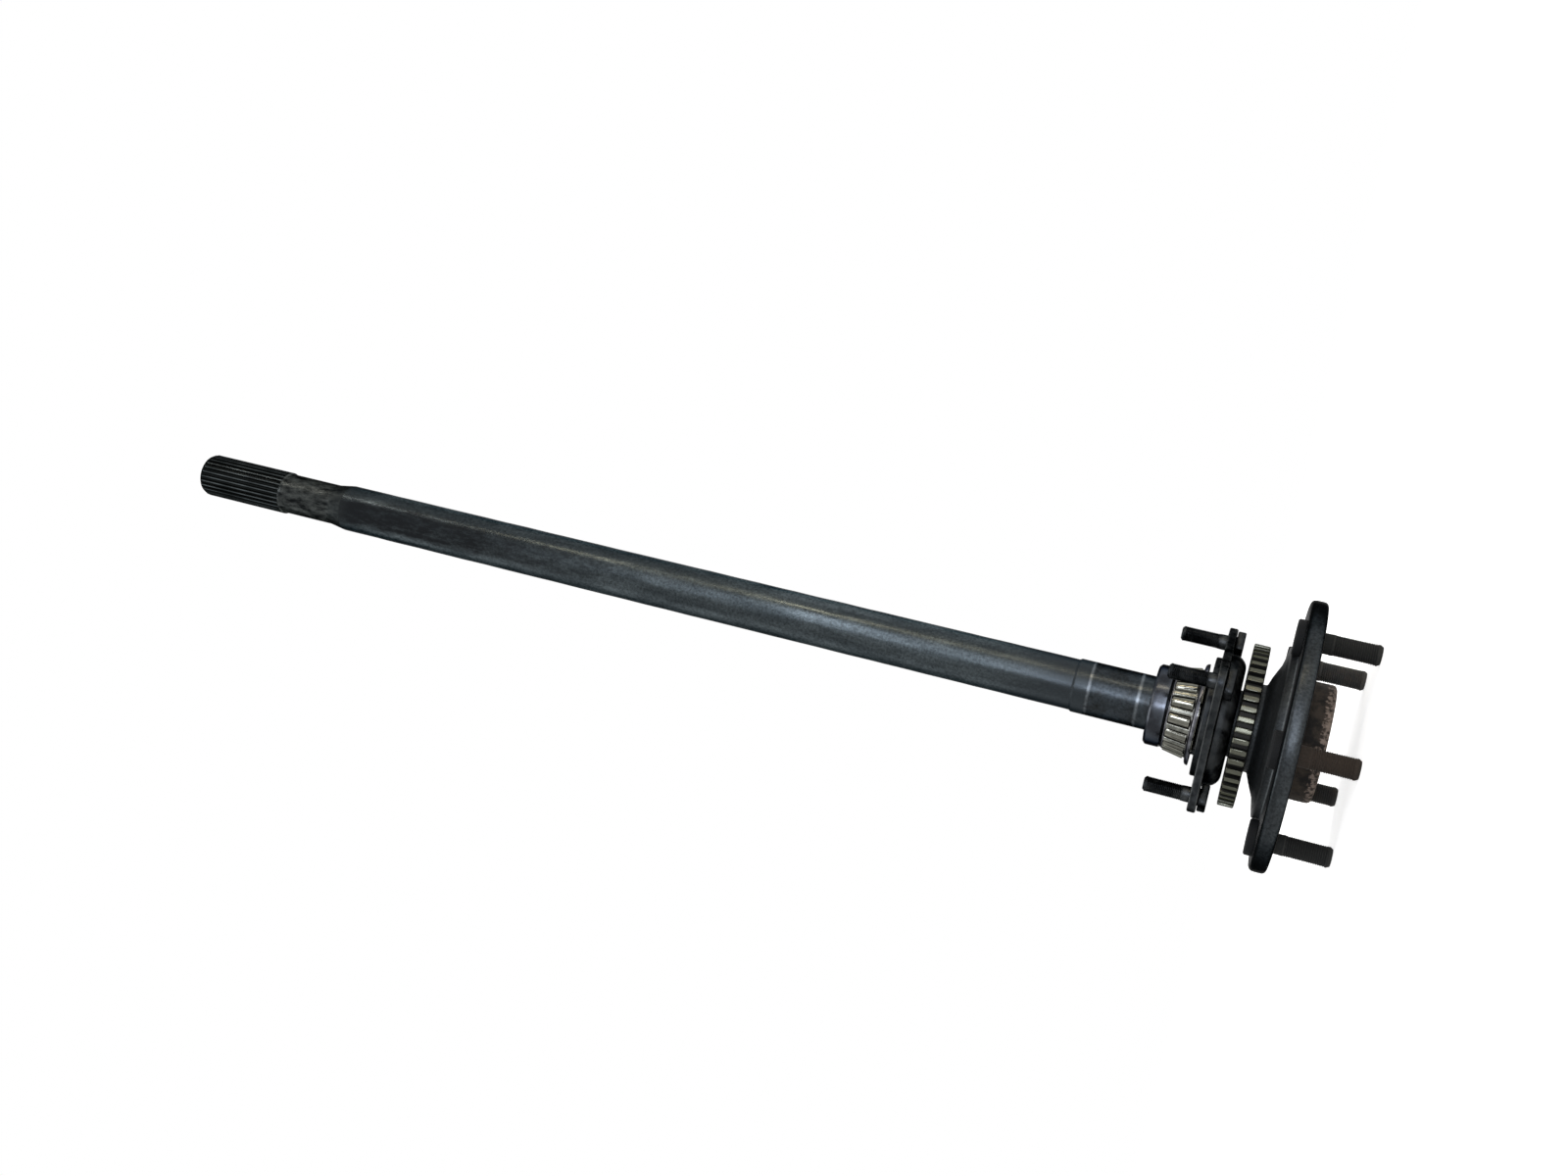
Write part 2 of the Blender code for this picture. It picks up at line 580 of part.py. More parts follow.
def make_oil_seal(parts, case_mat, rubber_mat, spring_mat):
    """The oil seal: a pressed steel case, the rubber lip bonded in it, and the garter spring on the lip."""
    bottom_z = DOME_FACE_Z + DOME_WALL + FIT
    top_z = bottom_z + SEAL_HEIGHT
    outer_r = SEAL_BORE_RADIUS - FIT
    wall_r = outer_r - SEAL_CASE_WALL
    inner_r = wall_r - SEAL_CASE_FLANGE
    web_z = bottom_z + SEAL_CASE_WALL
    case = [(wall_r, top_z), (outer_r, top_z), (outer_r, bottom_z), (inner_r, bottom_z), (inner_r, web_z),
            (wall_r, web_z)]
    turned("seal_case", case, SEAL_SIDES, parts, case_mat, closed=True)
    lip_z = web_z + FIT
    tip_r = SEAL_JOURNAL_RADIUS + FIT
    back_r = tip_r + SEAL_LIP_THICKNESS
    end_z = lip_z + SEAL_LIP_LENGTH
    lip = [(back_r, end_z), (back_r, lip_z + SEAL_LIP_WEB), (wall_r - FIT, lip_z + SEAL_LIP_WEB),
           (wall_r - FIT, lip_z), (tip_r + SEAL_LIP_THICKNESS / 2.0, lip_z), (tip_r, lip_z + SEAL_LIP_WEB),
           (tip_r, end_z)]
    turned("seal_lip", lip, SEAL_SIDES, parts, rubber_mat, closed=True)
    spring_r = back_r + FIT + SPRING_WIRE_RADIUS
    wire = arc(spring_r, lip_z + SEAL_LIP_WEB + SPRING_HEIGHT, SPRING_WIRE_RADIUS, 90.0, -210.0, 5)
    turned("garter_spring", wire, SEAL_SIDES, parts, spring_mat, closed=True)


def make_bearing_cone(parts, mat):
    """The bearing's inner ring: a tapered raceway between a tall rib and a low toe."""
    tilt_drop = RACE_RADIUS / math.tan(RACE_ANGLE) * math.tan(ROLLER_HALF_ANGLE) * math.sin(ROLLER_TILT)
    rib_z = ROLLER_LARGE_Z - tilt_drop - FIT
    toe_z = ROLLER_SMALL_Z
    profile = [
        (CONE_BORE_RADIUS, CONE_TOP_Z),
        (CONE_TOE_RADIUS, CONE_TOP_Z),
        (CONE_TOE_RADIUS, toe_z),
        ((APEX_Z - toe_z) * math.tan(RACE_ANGLE), toe_z),
        ((APEX_Z - rib_z) * math.tan(RACE_ANGLE), rib_z),
        (CONE_RIB_RADIUS, rib_z),
        (CONE_RIB_RADIUS, CONE_BOTTOM_Z + CONE_CHAMFER),
        (CONE_RIB_RADIUS - CONE_CHAMFER, CONE_BOTTOM_Z),
        (CONE_BORE_RADIUS, CONE_BOTTOM_Z),
    ]
    turned("bearing_cone", profile, ROUND_SIDES, parts, mat, closed=True)


def roller_radius(distance):
    """A roller's radius at a distance from the apex, along its axis."""
    return distance * math.tan(ROLLER_HALF_ANGLE) - RUNNING_GAP


def roller_place(angle):
    """The middle of a roller's axis, and the turn that points its small end at the apex."""
    distance = ROLLER_REACH - ROLLER_LENGTH / 2.0
    radius = distance * math.sin(ROLLER_TILT)
    height = APEX_Z - distance * math.cos(ROLLER_TILT)
    place = Matrix.Translation((radius * math.cos(angle), radius * math.sin(angle), height))
    return place @ Matrix.Rotation(angle, 4, "Z") @ Matrix.Rotation(-ROLLER_TILT, 4, "Y")


def make_rollers(parts, mat):
    """Fifteen tapered rollers with broken edges."""
    build = bmesh.new()
    bmesh.ops.create_cone(build, cap_ends=True, segments=ROLLER_SIDES, depth=ROLLER_LENGTH,
                          radius1=roller_radius(ROLLER_REACH),
                          radius2=roller_radius(ROLLER_REACH - ROLLER_LENGTH))
    rims = [e for e in build.edges if abs(e.verts[0].co.z - e.verts[1].co.z) < MERGE]
    bmesh.ops.bevel(build, geom=rims, offset=ROLLER_EDGE, segments=1, affect="EDGES", profile=0.5)
    mesh = bpy.data.meshes.new("roller")
    build.to_mesh(mesh)
    build.free()
    for i, angle in enumerate(around(ROLLER_COUNT, ROLLER_TURN)):
        roller = add_object("roller_%02d" % (i + 1), mesh, parts, mat)
        roller.matrix_world = roller_place(angle)


def window_cutter(collection):
    """Fifteen tapered blocks, each lined up with its roller, that cut the cage's windows."""
    build = bmesh.new()
    inner = CAGE_OFFSET - CAGE_WALL / 2.0
    low = inner - CAGE_WALL
    high = CAGE_OFFSET + 2.0 * CAGE_WALL

    def half_width(radius):
        return math.sqrt(radius ** 2 - inner ** 2) + FIT

    large = half_width(roller_radius(ROLLER_REACH))
    small = half_width(roller_radius(ROLLER_REACH - ROLLER_LENGTH))
    half_length = ROLLER_LENGTH / 2.0 + FIT
    for angle in around(ROLLER_COUNT, ROLLER_TURN):
        made = bmesh.ops.create_cube(build, size=1.0)
        for vert in made["verts"]:
            half = small if vert.co.z > 0.0 else large
            vert.co = (high if vert.co.x > 0.0 else low, math.copysign(half, vert.co.y),
                       math.copysign(half_length, vert.co.z))
        bmesh.ops.transform(build, verts=made["verts"], matrix=roller_place(angle))
    mesh = bpy.data.meshes.new("cage_windows")
    build.to_mesh(mesh)
    build.free()
    cutter = add_object("cage_windows", mesh, collection)
    hide(cutter)
    return cutter


def make_roller_cage(parts, cutters, mat):
    """The pressed cage: a lipped ring at the large end, a tapered shell with windows, and a small ring."""
    bottom_z = CONE_BOTTOM_Z + CAGE_RING_RISE
    ring_z = bottom_z + CAGE_RING_HEIGHT
    toe_z = ROLLER_SMALL_Z + roller_radius(ROLLER_REACH - ROLLER_LENGTH) * math.sin(ROLLER_TILT) + FIT
    top_z = toe_z + CAGE_TOE_THICKNESS
    half_wall = CAGE_WALL / 2.0 / math.cos(ROLLER_TILT)

    def shell_radius(height):
        return (APEX_Z - height) * math.tan(ROLLER_TILT) + CAGE_OFFSET / math.cos(ROLLER_TILT)

    ring_bore = CONE_RIB_RADIUS + 2.0 * FIT
    toe_bore = CONE_TOE_RADIUS + 2.0 * FIT
    collar_r = shell_radius(ring_z) + half_wall + CAGE_COLLAR_STEP
    lip_r = collar_r + CAGE_LIP_WIDTH
    profile = [
        (toe_bore, top_z),
        (shell_radius(top_z) + half_wall, top_z),
        (shell_radius(ring_z) + half_wall, ring_z),
        (collar_r, ring_z),
        (lip_r, bottom_z + CAGE_LIP_THICKNESS),
        (lip_r, bottom_z),
        (ring_bore, bottom_z),
        (ring_bore, ring_z),
        (shell_radius(ring_z) - half_wall, ring_z),
        (shell_radius(toe_z) - half_wall, toe_z),
        (toe_bore, toe_z),
    ]
    cage = turned("roller_cage", profile, SIDES_PER_WINDOW * ROLLER_COUNT, parts, mat, closed=True)
    boolean(cage, window_cutter(cutters), "DIFFERENCE")


def make_retaining_collar(parts, mat):
    """The plain collar that keeps the bearing on the shaft."""
    profile = [
        (CONE_BORE_RADIUS, COLLAR_TOP_Z),
        (COLLAR_RADIUS - COLLAR_CHAMFER, COLLAR_TOP_Z),
        (COLLAR_RADIUS, COLLAR_TOP_Z - COLLAR_CHAMFER),
        (COLLAR_RADIUS, COLLAR_BOTTOM_Z + COLLAR_CHAMFER / 2.0),
        (COLLAR_RADIUS - COLLAR_CHAMFER / 2.0, COLLAR_BOTTOM_Z),
        (CONE_BORE_RADIUS, COLLAR_BOTTOM_Z),
    ]
    turned("retaining_collar", profile, ROUND_SIDES, parts, mat, closed=True)


def build_axle():
    """All pieces of the axle shaft assembly."""
    clear_scene()
    parts = new_collection("axle_shaft_assembly")
    cutters = new_collection("cutters")
    oiled_steel = material("oiled_forged_steel", (0.06, 0.07, 0.08), 0.45, 0.8)
    rusty_steel = material("rusty_steel", (0.12, 0.09, 0.07), 0.7, 0.5)
    bright_steel = material("bright_bearing_steel", (0.62, 0.62, 0.60), 0.2, 1.0)
    ring_steel = material("machined_ring_steel", (0.33, 0.33, 0.29), 0.4, 0.9)
    black_oxide = material("black_oxide", (0.04, 0.04, 0.045), 0.5, 0.6)
    rubber = material("nitrile_rubber", (0.02, 0.02, 0.02), 0.8, 0.0)
    make_axle_shaft(parts, cutters, oiled_steel)
    make_wheel_studs(parts, rusty_steel)
    make_tone_ring(parts, cutters, ring_steel)
    make_retainer_plate(parts, cutters, black_oxide)
    make_t_bolts(parts, cutters, black_oxide)
    make_oil_seal(parts, ring_steel, rubber, bright_steel)
    make_bearing_cone(parts, bright_steel)
    make_roller_cage(parts, cutters, ring_steel)
    make_rollers(parts, bright_steel)
    make_retaining_collar(parts, oiled_steel)
    finish(parts)


build_axle()
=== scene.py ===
"""The look of a used rear axle shaft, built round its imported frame.

The shaft stands on its five wheel studs, with the splined end up. Sizes are millimetres, made metres by MM;
the camera, the lamps, and the heights and places in materials are metres. Turned profiles run from the
splined end down the outside, as (radius, height, round) corners.
"""

import bpy
import numpy as np
from mathutils import Matrix


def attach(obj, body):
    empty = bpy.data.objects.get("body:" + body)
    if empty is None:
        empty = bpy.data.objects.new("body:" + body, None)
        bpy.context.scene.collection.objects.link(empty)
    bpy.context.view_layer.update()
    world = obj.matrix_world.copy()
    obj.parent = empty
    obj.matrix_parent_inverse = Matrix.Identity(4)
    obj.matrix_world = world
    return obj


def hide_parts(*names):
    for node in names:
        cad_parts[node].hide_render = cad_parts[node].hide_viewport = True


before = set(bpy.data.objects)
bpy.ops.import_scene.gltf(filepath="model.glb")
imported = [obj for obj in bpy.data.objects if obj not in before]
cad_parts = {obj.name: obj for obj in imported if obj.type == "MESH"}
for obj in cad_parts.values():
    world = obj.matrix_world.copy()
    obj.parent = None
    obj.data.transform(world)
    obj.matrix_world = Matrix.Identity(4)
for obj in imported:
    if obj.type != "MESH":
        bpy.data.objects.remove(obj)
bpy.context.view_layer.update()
scene = bpy.context.scene
scene.view_settings.view_transform = "Standard"


# ---- Camera ----
# The photograph was taken about a metre from the shaft, level with its flange and looking a little along it.
# The shaft lay across the picture there and stands here, so the camera is rolled on its side to match.
eye = np.array((0.43425, -0.89034, 0.0766))
ahead = np.array((-0.42119, 0.86357, 0.27730))
along = np.array((-0.12156, 0.24924, -0.96080))
across = np.cross(along, ahead)
aside, roll = np.radians(0.903), np.radians(13.696)
sight = np.cos(aside) * ahead + np.sin(aside) * across
level_up = np.cos(aside) * across - np.sin(aside) * ahead
right = np.cos(roll) * along + np.sin(roll) * level_up
up = np.cos(roll) * level_up - np.sin(roll) * along

camera_data = bpy.data.cameras.new("photo_camera")
camera_data.sensor_width = 36.0
camera_data.lens = 36.405
camera_data.clip_start = 0.05
camera = bpy.data.objects.new("photo_camera", camera_data)
camera.matrix_world = Matrix([[*row, place] for row, place in zip(np.column_stack((right, up, -sight)), eye)]
                             + [[0.0, 0.0, 0.0, 1.0]])
scene.collection.objects.link(camera)
scene.camera = camera


# ---- Studio: white surroundings, pale floor, soft lamps ----
# The surroundings show white to the eye and in metal, and give the object an even light of medium strength. A
# flash beside the camera and two tall narrow lamps above it draw the photograph's fine highlight down the
# shaft, and a wide low softbox spreads it over the flange. A warm tall lamp draws the tan line beside it,
# with a short one above for the neck, and one softbox serves the rollers, which lean upwards.
MM = 0.001
SURROUND_LIGHT = 0.50
FLOOR_SIZE = 9000.0
FLOOR_WHITE = 0.74


def linear(code):
    """A hex colour as linear light: each sRGB share is divided by 12.92 if small, else raised to 2.4."""
    share = np.array([int(code[i:i + 2], 16) for i in (1, 3, 5)]) / 255.0
    light = np.where(share <= 0.04045, share / 12.92, ((share + 0.055) / 1.055) ** 2.4)
    return (*light.tolist(), 1.0)


def fill(node, sockets):
    """Gives a node's inputs, by name or number, each as a plain value, as a hex colour, which is made linear,
    or as another node's output, which is linked. In a Mix of colours 0 is the share, and 6 and 7 are the
    colours. In a Map Range 0 is the value, 1 and 2 are the ends of its range, and 3 and 4 the new ends."""
    for name, value in dict(sockets).items():
        if isinstance(value, bpy.types.NodeSocket):
            node.id_data.links.new(value, node.inputs[name])
        else:
            node.inputs[name].default_value = linear(value) if isinstance(value, str) else value


def add(tree, kind, sockets=(), out=None, **settings):
    """Adds one shader node, with its own settings and with its inputs filled, and returns the output that is
    named, or else the first that is in use."""
    made = tree.nodes.new("ShaderNode" + kind)
    for name, value in settings.items():
        setattr(made, name, value)
    fill(made, sockets)
    return made.outputs[out] if out else next((socket for socket in made.outputs if socket.enabled), None)


def seen_straight(tree):
    """1 for rays from the camera, off gloss and through glass, which see the surroundings, and 0 for light."""
    path = add(tree, "LightPath").node.outputs
    seen = add(tree, "Math", {0: path["Is Camera Ray"], 1: path["Is Glossy Ray"]}, operation="MAXIMUM")
    return add(tree, "Math", {0: seen, 1: path["Is Transmission Ray"]}, operation="MAXIMUM")


world = bpy.data.worlds.new("white_surroundings")
scene.world = world
world.use_nodes = True
tree = world.node_tree
tree.nodes.clear()
strength = add(tree, "MapRange", {0: seen_straight(tree), 3: SURROUND_LIGHT, 4: 1.0})
light = add(tree, "Background", {"Color": "#ffffff", "Strength": strength})
add(tree, "OutputWorld", {"Surface": light})

# Matt white paper: pale and even, so that the eye sees white with only the softest shadow on it.
floor_mat = bpy.data.materials.new("matt_white_paper")
floor_mat.use_nodes = True
tree = floor_mat.node_tree
tree.nodes.clear()
glow = add(tree, "Math", {0: seen_straight(tree), 1: FLOOR_WHITE}, operation="MULTIPLY")
paper = add(tree, "BsdfDiffuse", {"Color": "#e8e8e6"})
white = add(tree, "Emission", {"Color": "#ffffff", "Strength": glow})
both = add(tree, "AddShader", {0: paper, 1: white})
add(tree, "OutputMaterial", {"Surface": both})

half = FLOOR_SIZE / 2.0 * MM
floor_mesh = bpy.data.meshes.new("studio_floor")
floor_mesh.from_pydata([(-half, -half, 0.0), (half, -half, 0.0), (half, half, 0.0), (-half, half, 0.0)], [],
                       [(0, 1, 2, 3)])
floor_mesh.materials.append(floor_mat)
floor = bpy.data.objects.new("studio_floor", floor_mesh)
floor.location.z = -0.2 * MM
scene.collection.objects.link(floor)


def soft_lamp(name, place, aim, size, power, colour):
    """An area lamp of the given width and height at a place, turned so that its face looks at the aim and its
    height runs as near upright as it can."""
    data = bpy.data.lights.new(name, "AREA")
    data.shape = "RECTANGLE"
    data.size, data.size_y = size
    data.energy = power
    data.color = linear(colour)[:3]
    lamp = bpy.data.objects.new(name, data)
    back = np.array(place) - np.array(aim)
    back = back / np.linalg.norm(back)
    side = np.cross((0.0, 1.0, 0.0) if abs(back[2]) > 0.9 else (0.0, 0.0, 1.0), back)
    side = side / np.linalg.norm(side)
    turn = np.column_stack((side, np.cross(back, side), back))
    lamp.matrix_world = Matrix([[*row, p] for row, p in zip(turn, place)] + [[0.0, 0.0, 0.0, 1.0]])
    lamp.visible_camera = False
    scene.collection.objects.link(lamp)


soft_lamp("flash", (0.505, -1.033, 0.10), (0.0, 0.0, 0.06), (0.16, 0.165), 2.3, "#eef3ff")
soft_lamp("low_softbox", (0.70, -1.00, 0.085), (0.0, 0.0, 0.06), (0.80, 0.14), 3.6, "#f2f5ff")
soft_lamp("upper_strip", (0.459, -1.055, 0.64), (0.0, 0.0, 0.64), (0.05, 0.33), 0.75, "#eef3ff")
soft_lamp("lower_strip", (0.459, -1.055, 0.33), (0.0, 0.0, 0.33), (0.05, 0.29), 0.42, "#eef3ff")
soft_lamp("roller_softbox", (0.82, -0.84, 0.585), (0.0, 0.0, 0.1), (0.54, 0.06), 3.3, "#f2f5ff")
soft_lamp("warm_strip", (1.27, -0.27, 0.59), (0.0, 0.0, 0.35), (0.05, 1.08), 4.1, "#ffe9c4")
soft_lamp("neck_strip", (1.27, -0.27, 1.55), (0.0, 0.0, 0.7), (0.05, 0.20), 1.7, "#fff6ea")
soft_lamp("right_softbox", (1.5, 1.26, 0.5), (0.0, 0.0, 0.3), (1.2, 1.2), 3.0, "#ffffff")
soft_lamp("overhead_softbox", (-0.3, -0.2, 2.4), (0.0, 0.0, 0.3), (1.6, 1.6), 26.0, "#ffffff")
soft_lamp("left_softbox", (-1.9, -0.9, 1.1), (0.0, 0.0, 0.35), (1.2, 1.6), 4.0, "#ffffff")
soft_lamp("rear_softbox", (0.6, 2.1, 1.0), (0.0, 0.0, 0.35), (1.4, 1.6), 12.0, "#ffffff")


# ---- Axle shaft: one forging, turned, ground and hobbed ----
# A steel forging with the wheel flange and pilot hub at one end. The bar keeps its black, oily forging skin,
# the journals are ground, and the 27 spline teeth are hobbed at the free end.
SPLINE_TEETH = 27
SPLINE_R, SPLINE_ROOT = 14.8, 13.5
GAP_ROOT, GAP_TOP = 1.1, 2.2
SPLINE_FOOT, RUN_OUT, CREST_R = 737.0, 4.5, 14.0
NECK_FOOT, SKIN_FOOT, JOURNAL_FOOT, FACE = 686.0, 159.0, 88.0, 33.5
BAR_FOOT, BAR_TOP = 167.0, 700.0
BACK_R, BACK_FOOT, BACK_TOP = 27.0, 43.0, 60.0
PILOT_R, PILOT_HOLLOW_R, PILOT_TOP = 36.5, 20.0, 31.0
BAR_WAVE, BACK_WAVE, PILOT_WAVE = (0.07, 30.0), (0.16, 9.0), (0.14, 4.0)  # depth, typical length
SPLINE, NECK, BAR, JOURNAL, FLANGE, RUST = range(6)  # the shaft's materials, in their order
ROUND_STEPS, WAVE_COUNT = 4, 16
SHAFT_CORNERS = [
    (0.0, 797.0, 0), (1.5, 798.6, 0), (1.6, 800.2, 0.2), (3.2, 803.0, 0.3), (13.55, 803.0, 0.3),
    (14.8, 800.5, 0.5), (14.8, 742.6, 0), (14.8, 741.5, 0), (14.8, 740.6, 0), (14.8, 739.7, 0),
    (14.8, 738.8, 0), (14.8, 737.9, 0), (14.8, 737.0, 0.3), (13.95, 736.15, 0.5), (13.95, 697.3, 5.0),
    (15.9, 685.5, 5.0), (15.9, 167.0, 0.6), (16.75, 165.5, 0.4), (16.75, 119.8, 0.2), (17.46, 118.8, 0.2),
    (17.46, 89.4, 0.3), (20.3, 89.4, 0.3), (20.3, 69.2, 0.4), (24.0, 68.9, 0.3), (24.0, 59.1, 0.3),
    (26.8, 59.1, 0.4), (26.8, 56.5, 1.2), (32.0, 54.5, 2.0), (40.5, 50.8, 4.0), (52.2, 48.4, 1.4),
    (52.2, 43.5, 1.0), (82.5, 43.5, 3.6), (82.5, 33.3, 2.8), (35.75, 33.3, 1.2), (35.75, 17.7, 3.0),
    (24.0, 17.7, 0.8), (21.0, 22.7, 1.0), (4.0, 22.7, 0.4), (0.0, 27.7, 0)]


def traced(corners, step):
    """A profile through corners, as rows of (radius, height) in millimetres. A corner with a round becomes a
    parabola that touches both its sides at round / tan(half the corner's angle), and a straight side is cut
    into equal lengths no longer than the step."""
    points = np.array([c[:2] for c in corners], float)
    rows = [points[:1]]
    for before, here, after, corner in zip(points[:-2], points[1:-1], points[2:], corners[1:-1]):
        back, on = before - here, after - here
        back_length, on_length = np.linalg.norm(back), np.linalg.norm(on)
        cosine = np.clip(back @ on / back_length / on_length, -1.0, 1.0)
        reach = corner[2] / max(np.tan(np.arccos(cosine) / 2.0), 0.05)
        reach = min(reach, 0.49 * back_length, 0.49 * on_length)
        t = np.linspace(0.0, 1.0, ROUND_STEPS + 1)[:, None] if corner[2] else np.array([[0.5]])
        start, end = here + back / back_length * reach, here + on / on_length * reach
        rows.append((1 - t) ** 2 * start + 2 * t * (1 - t) * here + t ** 2 * end if corner[2] else here[None])
    rows.append(points[-1:])
    line = np.concatenate(rows)
    gaps = np.linalg.norm(np.diff(line, axis=0), axis=1)
    parts = np.maximum(1, np.ceil(gaps / step).astype(int))
    first = np.repeat(np.arange(len(gaps)), parts)
    share = (np.arange(len(first)) - np.repeat(np.cumsum(parts) - parts, parts)) / np.repeat(parts, parts)
    return np.vstack((line[first] + share[:, None] * (line[first + 1] - line[first]), line[-1:]))


def edge_wear(profile):
    """How far each row of a profile is an outer edge, 0 to 1: the sine of the turn there, where it turns
    inwards, doubled."""
    way = np.diff(profile, axis=0)
    way = way / np.linalg.norm(way, axis=1)[:, None]
    turn = way[:-1, 1] * way[1:, 0] - way[:-1, 0] * way[1:, 1]
    return np.concatenate(((0.0,), np.clip(turn * -2.0, 0.0, 1.0), (0.0,)))


def skin(name, points, wear, ring=False, bands=None):
    """A closed skin from an array of points, by row and column. The columns run once round, anticlockwise from
    above, and the rows down the outside, so the faces look outwards. In a ring the last row joins the first;
    otherwise the first and last rows each shrink to a point. Wear is kept on the points as an attribute, and
    bands gives each row of faces its material."""
    rows, columns = points.shape[:2]
    wear = np.broadcast_to(wear, (rows, columns))
    here = np.arange(rows * columns).reshape(rows, columns)
    below = np.roll(here, -1, axis=0) if ring else here[1:]
    above = here if ring else here[:-1]
    quads = np.stack((above, below, np.roll(below, -1, axis=1), np.roll(above, -1, axis=1)), axis=-1)
    faces = quads.reshape(-1, 4).tolist()
    band = np.repeat(np.zeros(len(quads), int) if bands is None else bands[:len(quads)], columns)
    coords, worn = points.reshape(-1, 3), wear.reshape(-1)
    if not ring:
        inner = quads[1:-1].reshape(-1, 4) - (columns - 1)
        top = np.stack((np.zeros(columns, int), quads[0, :, 1], quads[0, :, 2]), axis=-1)
        top[:, 1:] -= columns - 1
        foot = np.stack((quads[-1, :, 0] - (columns - 1), np.full(columns, (rows - 2) * columns + 1),
                         quads[-1, :, 3] - (columns - 1)), axis=-1)
        faces = top.tolist() + inner.tolist() + foot.tolist()
        coords = np.vstack((points[0].mean(axis=0), points[1:-1].reshape(-1, 3), points[-1].mean(axis=0)))
        worn = np.concatenate((wear[0, :1], wear[1:-1].reshape(-1), wear[-1, :1]))
    mesh = bpy.data.meshes.new(name)
    mesh.from_pydata(coords.tolist(), [], faces)
    mesh.polygons.foreach_set("material_index", band.astype(np.int32))
    mesh.attributes.new("wear", "FLOAT", "POINT").data.foreach_set("value", worn.astype(np.float32))
    mesh.shade_smooth()
    mesh.set_sharp_from_angle(angle=np.radians(42.0))
    piece = bpy.data.objects.new(name, mesh)
    scene.collection.objects.link(piece)
    return piece


def turned(profile, angles):
    """The points of a turned form: radius times cosine, radius times sine, and height, in metres. The radius
    and height may be one column or a whole grid."""
    radius, height = profile[..., 0], profile[..., 1]
    if radius.ndim == 1:
        radius, height = radius[:, None], height[:, None]
    radius, height = np.broadcast_arrays(radius + 0.0 * angles, height + 0.0 * angles)
    return np.stack((radius * np.cos(angles), radius * np.sin(angles), height), axis=-1) * MM


def forged_waves(angles, heights, length, seed):
    """The unevenness of a forged skin, mostly within 1 of nothing: the sum of cosines of (whole number x angle
    + height x 2 pi / wavelength + phase) over the root of twice their number. It meets itself round the shaft,
    and its wavelengths spread round the length given."""
    chance = np.random.default_rng(seed)
    turns = chance.integers(-5, 6, WAVE_COUNT)
    rates = 2.0 * np.pi / (length * chance.uniform(0.5, 2.0, WAVE_COUNT))
    phases = chance.uniform(0.0, 2.0 * np.pi, WAVE_COUNT)
    total = np.zeros(np.broadcast_shapes(angles.shape, heights.shape))
    for turn, rate, phase in zip(turns, rates, phases):
        total = total + np.cos(turn * angles + rate * heights + phase)
    return total / np.sqrt(2.0 * WAVE_COUNT)


# The columns crowd at the edges of the gap between two teeth, and repeat with each tooth.
pitch = 2.0 * np.pi / SPLINE_TEETH
gap_edges = np.array((GAP_ROOT / 2.0 / SPLINE_ROOT, GAP_TOP / 2.0 / SPLINE_R))
columns = np.array((0.0, 0.8, 1.0, 1.15)) * gap_edges[0]
columns = np.concatenate((columns, np.array((0.92, 1.04, 1.25)) * gap_edges[1], (pitch / 2.0,)))
columns = np.concatenate((columns, pitch - columns[1:-1][::-1]))
angles = (np.arange(SPLINE_TEETH)[:, None] * pitch + columns).ravel()
profile = traced(SHAFT_CORNERS, step=8.5)
radius, height = np.broadcast_arrays(profile[:, :1], profile[:, 1:])
from_gap = np.abs((angles + pitch / 2.0) % pitch - pitch / 2.0)
tooth = np.clip((from_gap - gap_edges[0]) / (gap_edges[1] - gap_edges[0]), 0.0, 1.0)
outside = profile[:, :1] > 10.0  # the teeth are cut here, and not in the centre hole
cut = np.clip((profile[:, 1:] - SPLINE_FOOT) / RUN_OUT, 0.0, 1.0) * outside
toothed = SPLINE_R - (SPLINE_R - SPLINE_ROOT) * (1.0 - tooth) * cut
radius = np.where(cut > 0.0, np.minimum(radius, toothed), radius)
bar = np.clip((height - BAR_FOOT) / 4.0, 0.0, 1.0) * np.clip((BAR_TOP - height) / 12.0, 0.0, 1.0)
back = (profile[:, :1] > BACK_R) * (profile[:, 1:] > BACK_FOOT) * (profile[:, 1:] < BACK_TOP)
pilot = (profile[:, :1] > PILOT_HOLLOW_R) * (profile[:, 1:] < PILOT_TOP)
radius = radius + BAR_WAVE[0] * bar * forged_waves(angles, height, BAR_WAVE[1], seed=3)
height = height + BACK_WAVE[0] * back * forged_waves(angles, radius, BACK_WAVE[1], seed=5)
flaky = forged_waves(angles * 3.0, height + radius, PILOT_WAVE[1], seed=7)
radius = radius + PILOT_WAVE[0] * pilot * flaky
# The crests of the spline's teeth carry the painted highlight line of its material.
crest = tooth * (profile[:, 1:] > SPLINE_FOOT) * (profile[:, :1] > CREST_R)
wear = np.maximum(edge_wear(profile)[:, None] + 0.0 * angles, crest)
middle = (profile[1:] + profile[:-1]) / 2.0
out, up_shaft = middle.T
bands = np.select([up_shaft > SPLINE_FOOT, up_shaft > NECK_FOOT, up_shaft > SKIN_FOOT, up_shaft > JOURNAL_FOOT,
                   (out < PILOT_R) & (up_shaft < FACE + 0.5), up_shaft < FACE],
                  [SPLINE, NECK, BAR, JOURNAL, RUST, RUST], FLANGE)
shaft = skin("forged_axle_shaft", turned(np.stack((radius, height), axis=-1), angles), wear, bands=bands)


def steel(name, colour, rough, edge_tint="#5a5a5a"):
    """A new material of bare metal, as material, tree, shader and the plain point that its patterns are drawn
    with. The size of a pattern is about one over its scale, in metres."""
    mat = bpy.data.materials.new(name)
    mat.use_nodes = True
    tree = mat.node_tree
    shader = tree.nodes["Principled BSDF"]
    fill(shader, {"Base Color": colour, "Roughness": rough, "Metallic": 1.0, "Specular Tint": edge_tint})
    return mat, tree, shader, add(tree, "TexCoord", out="Object")


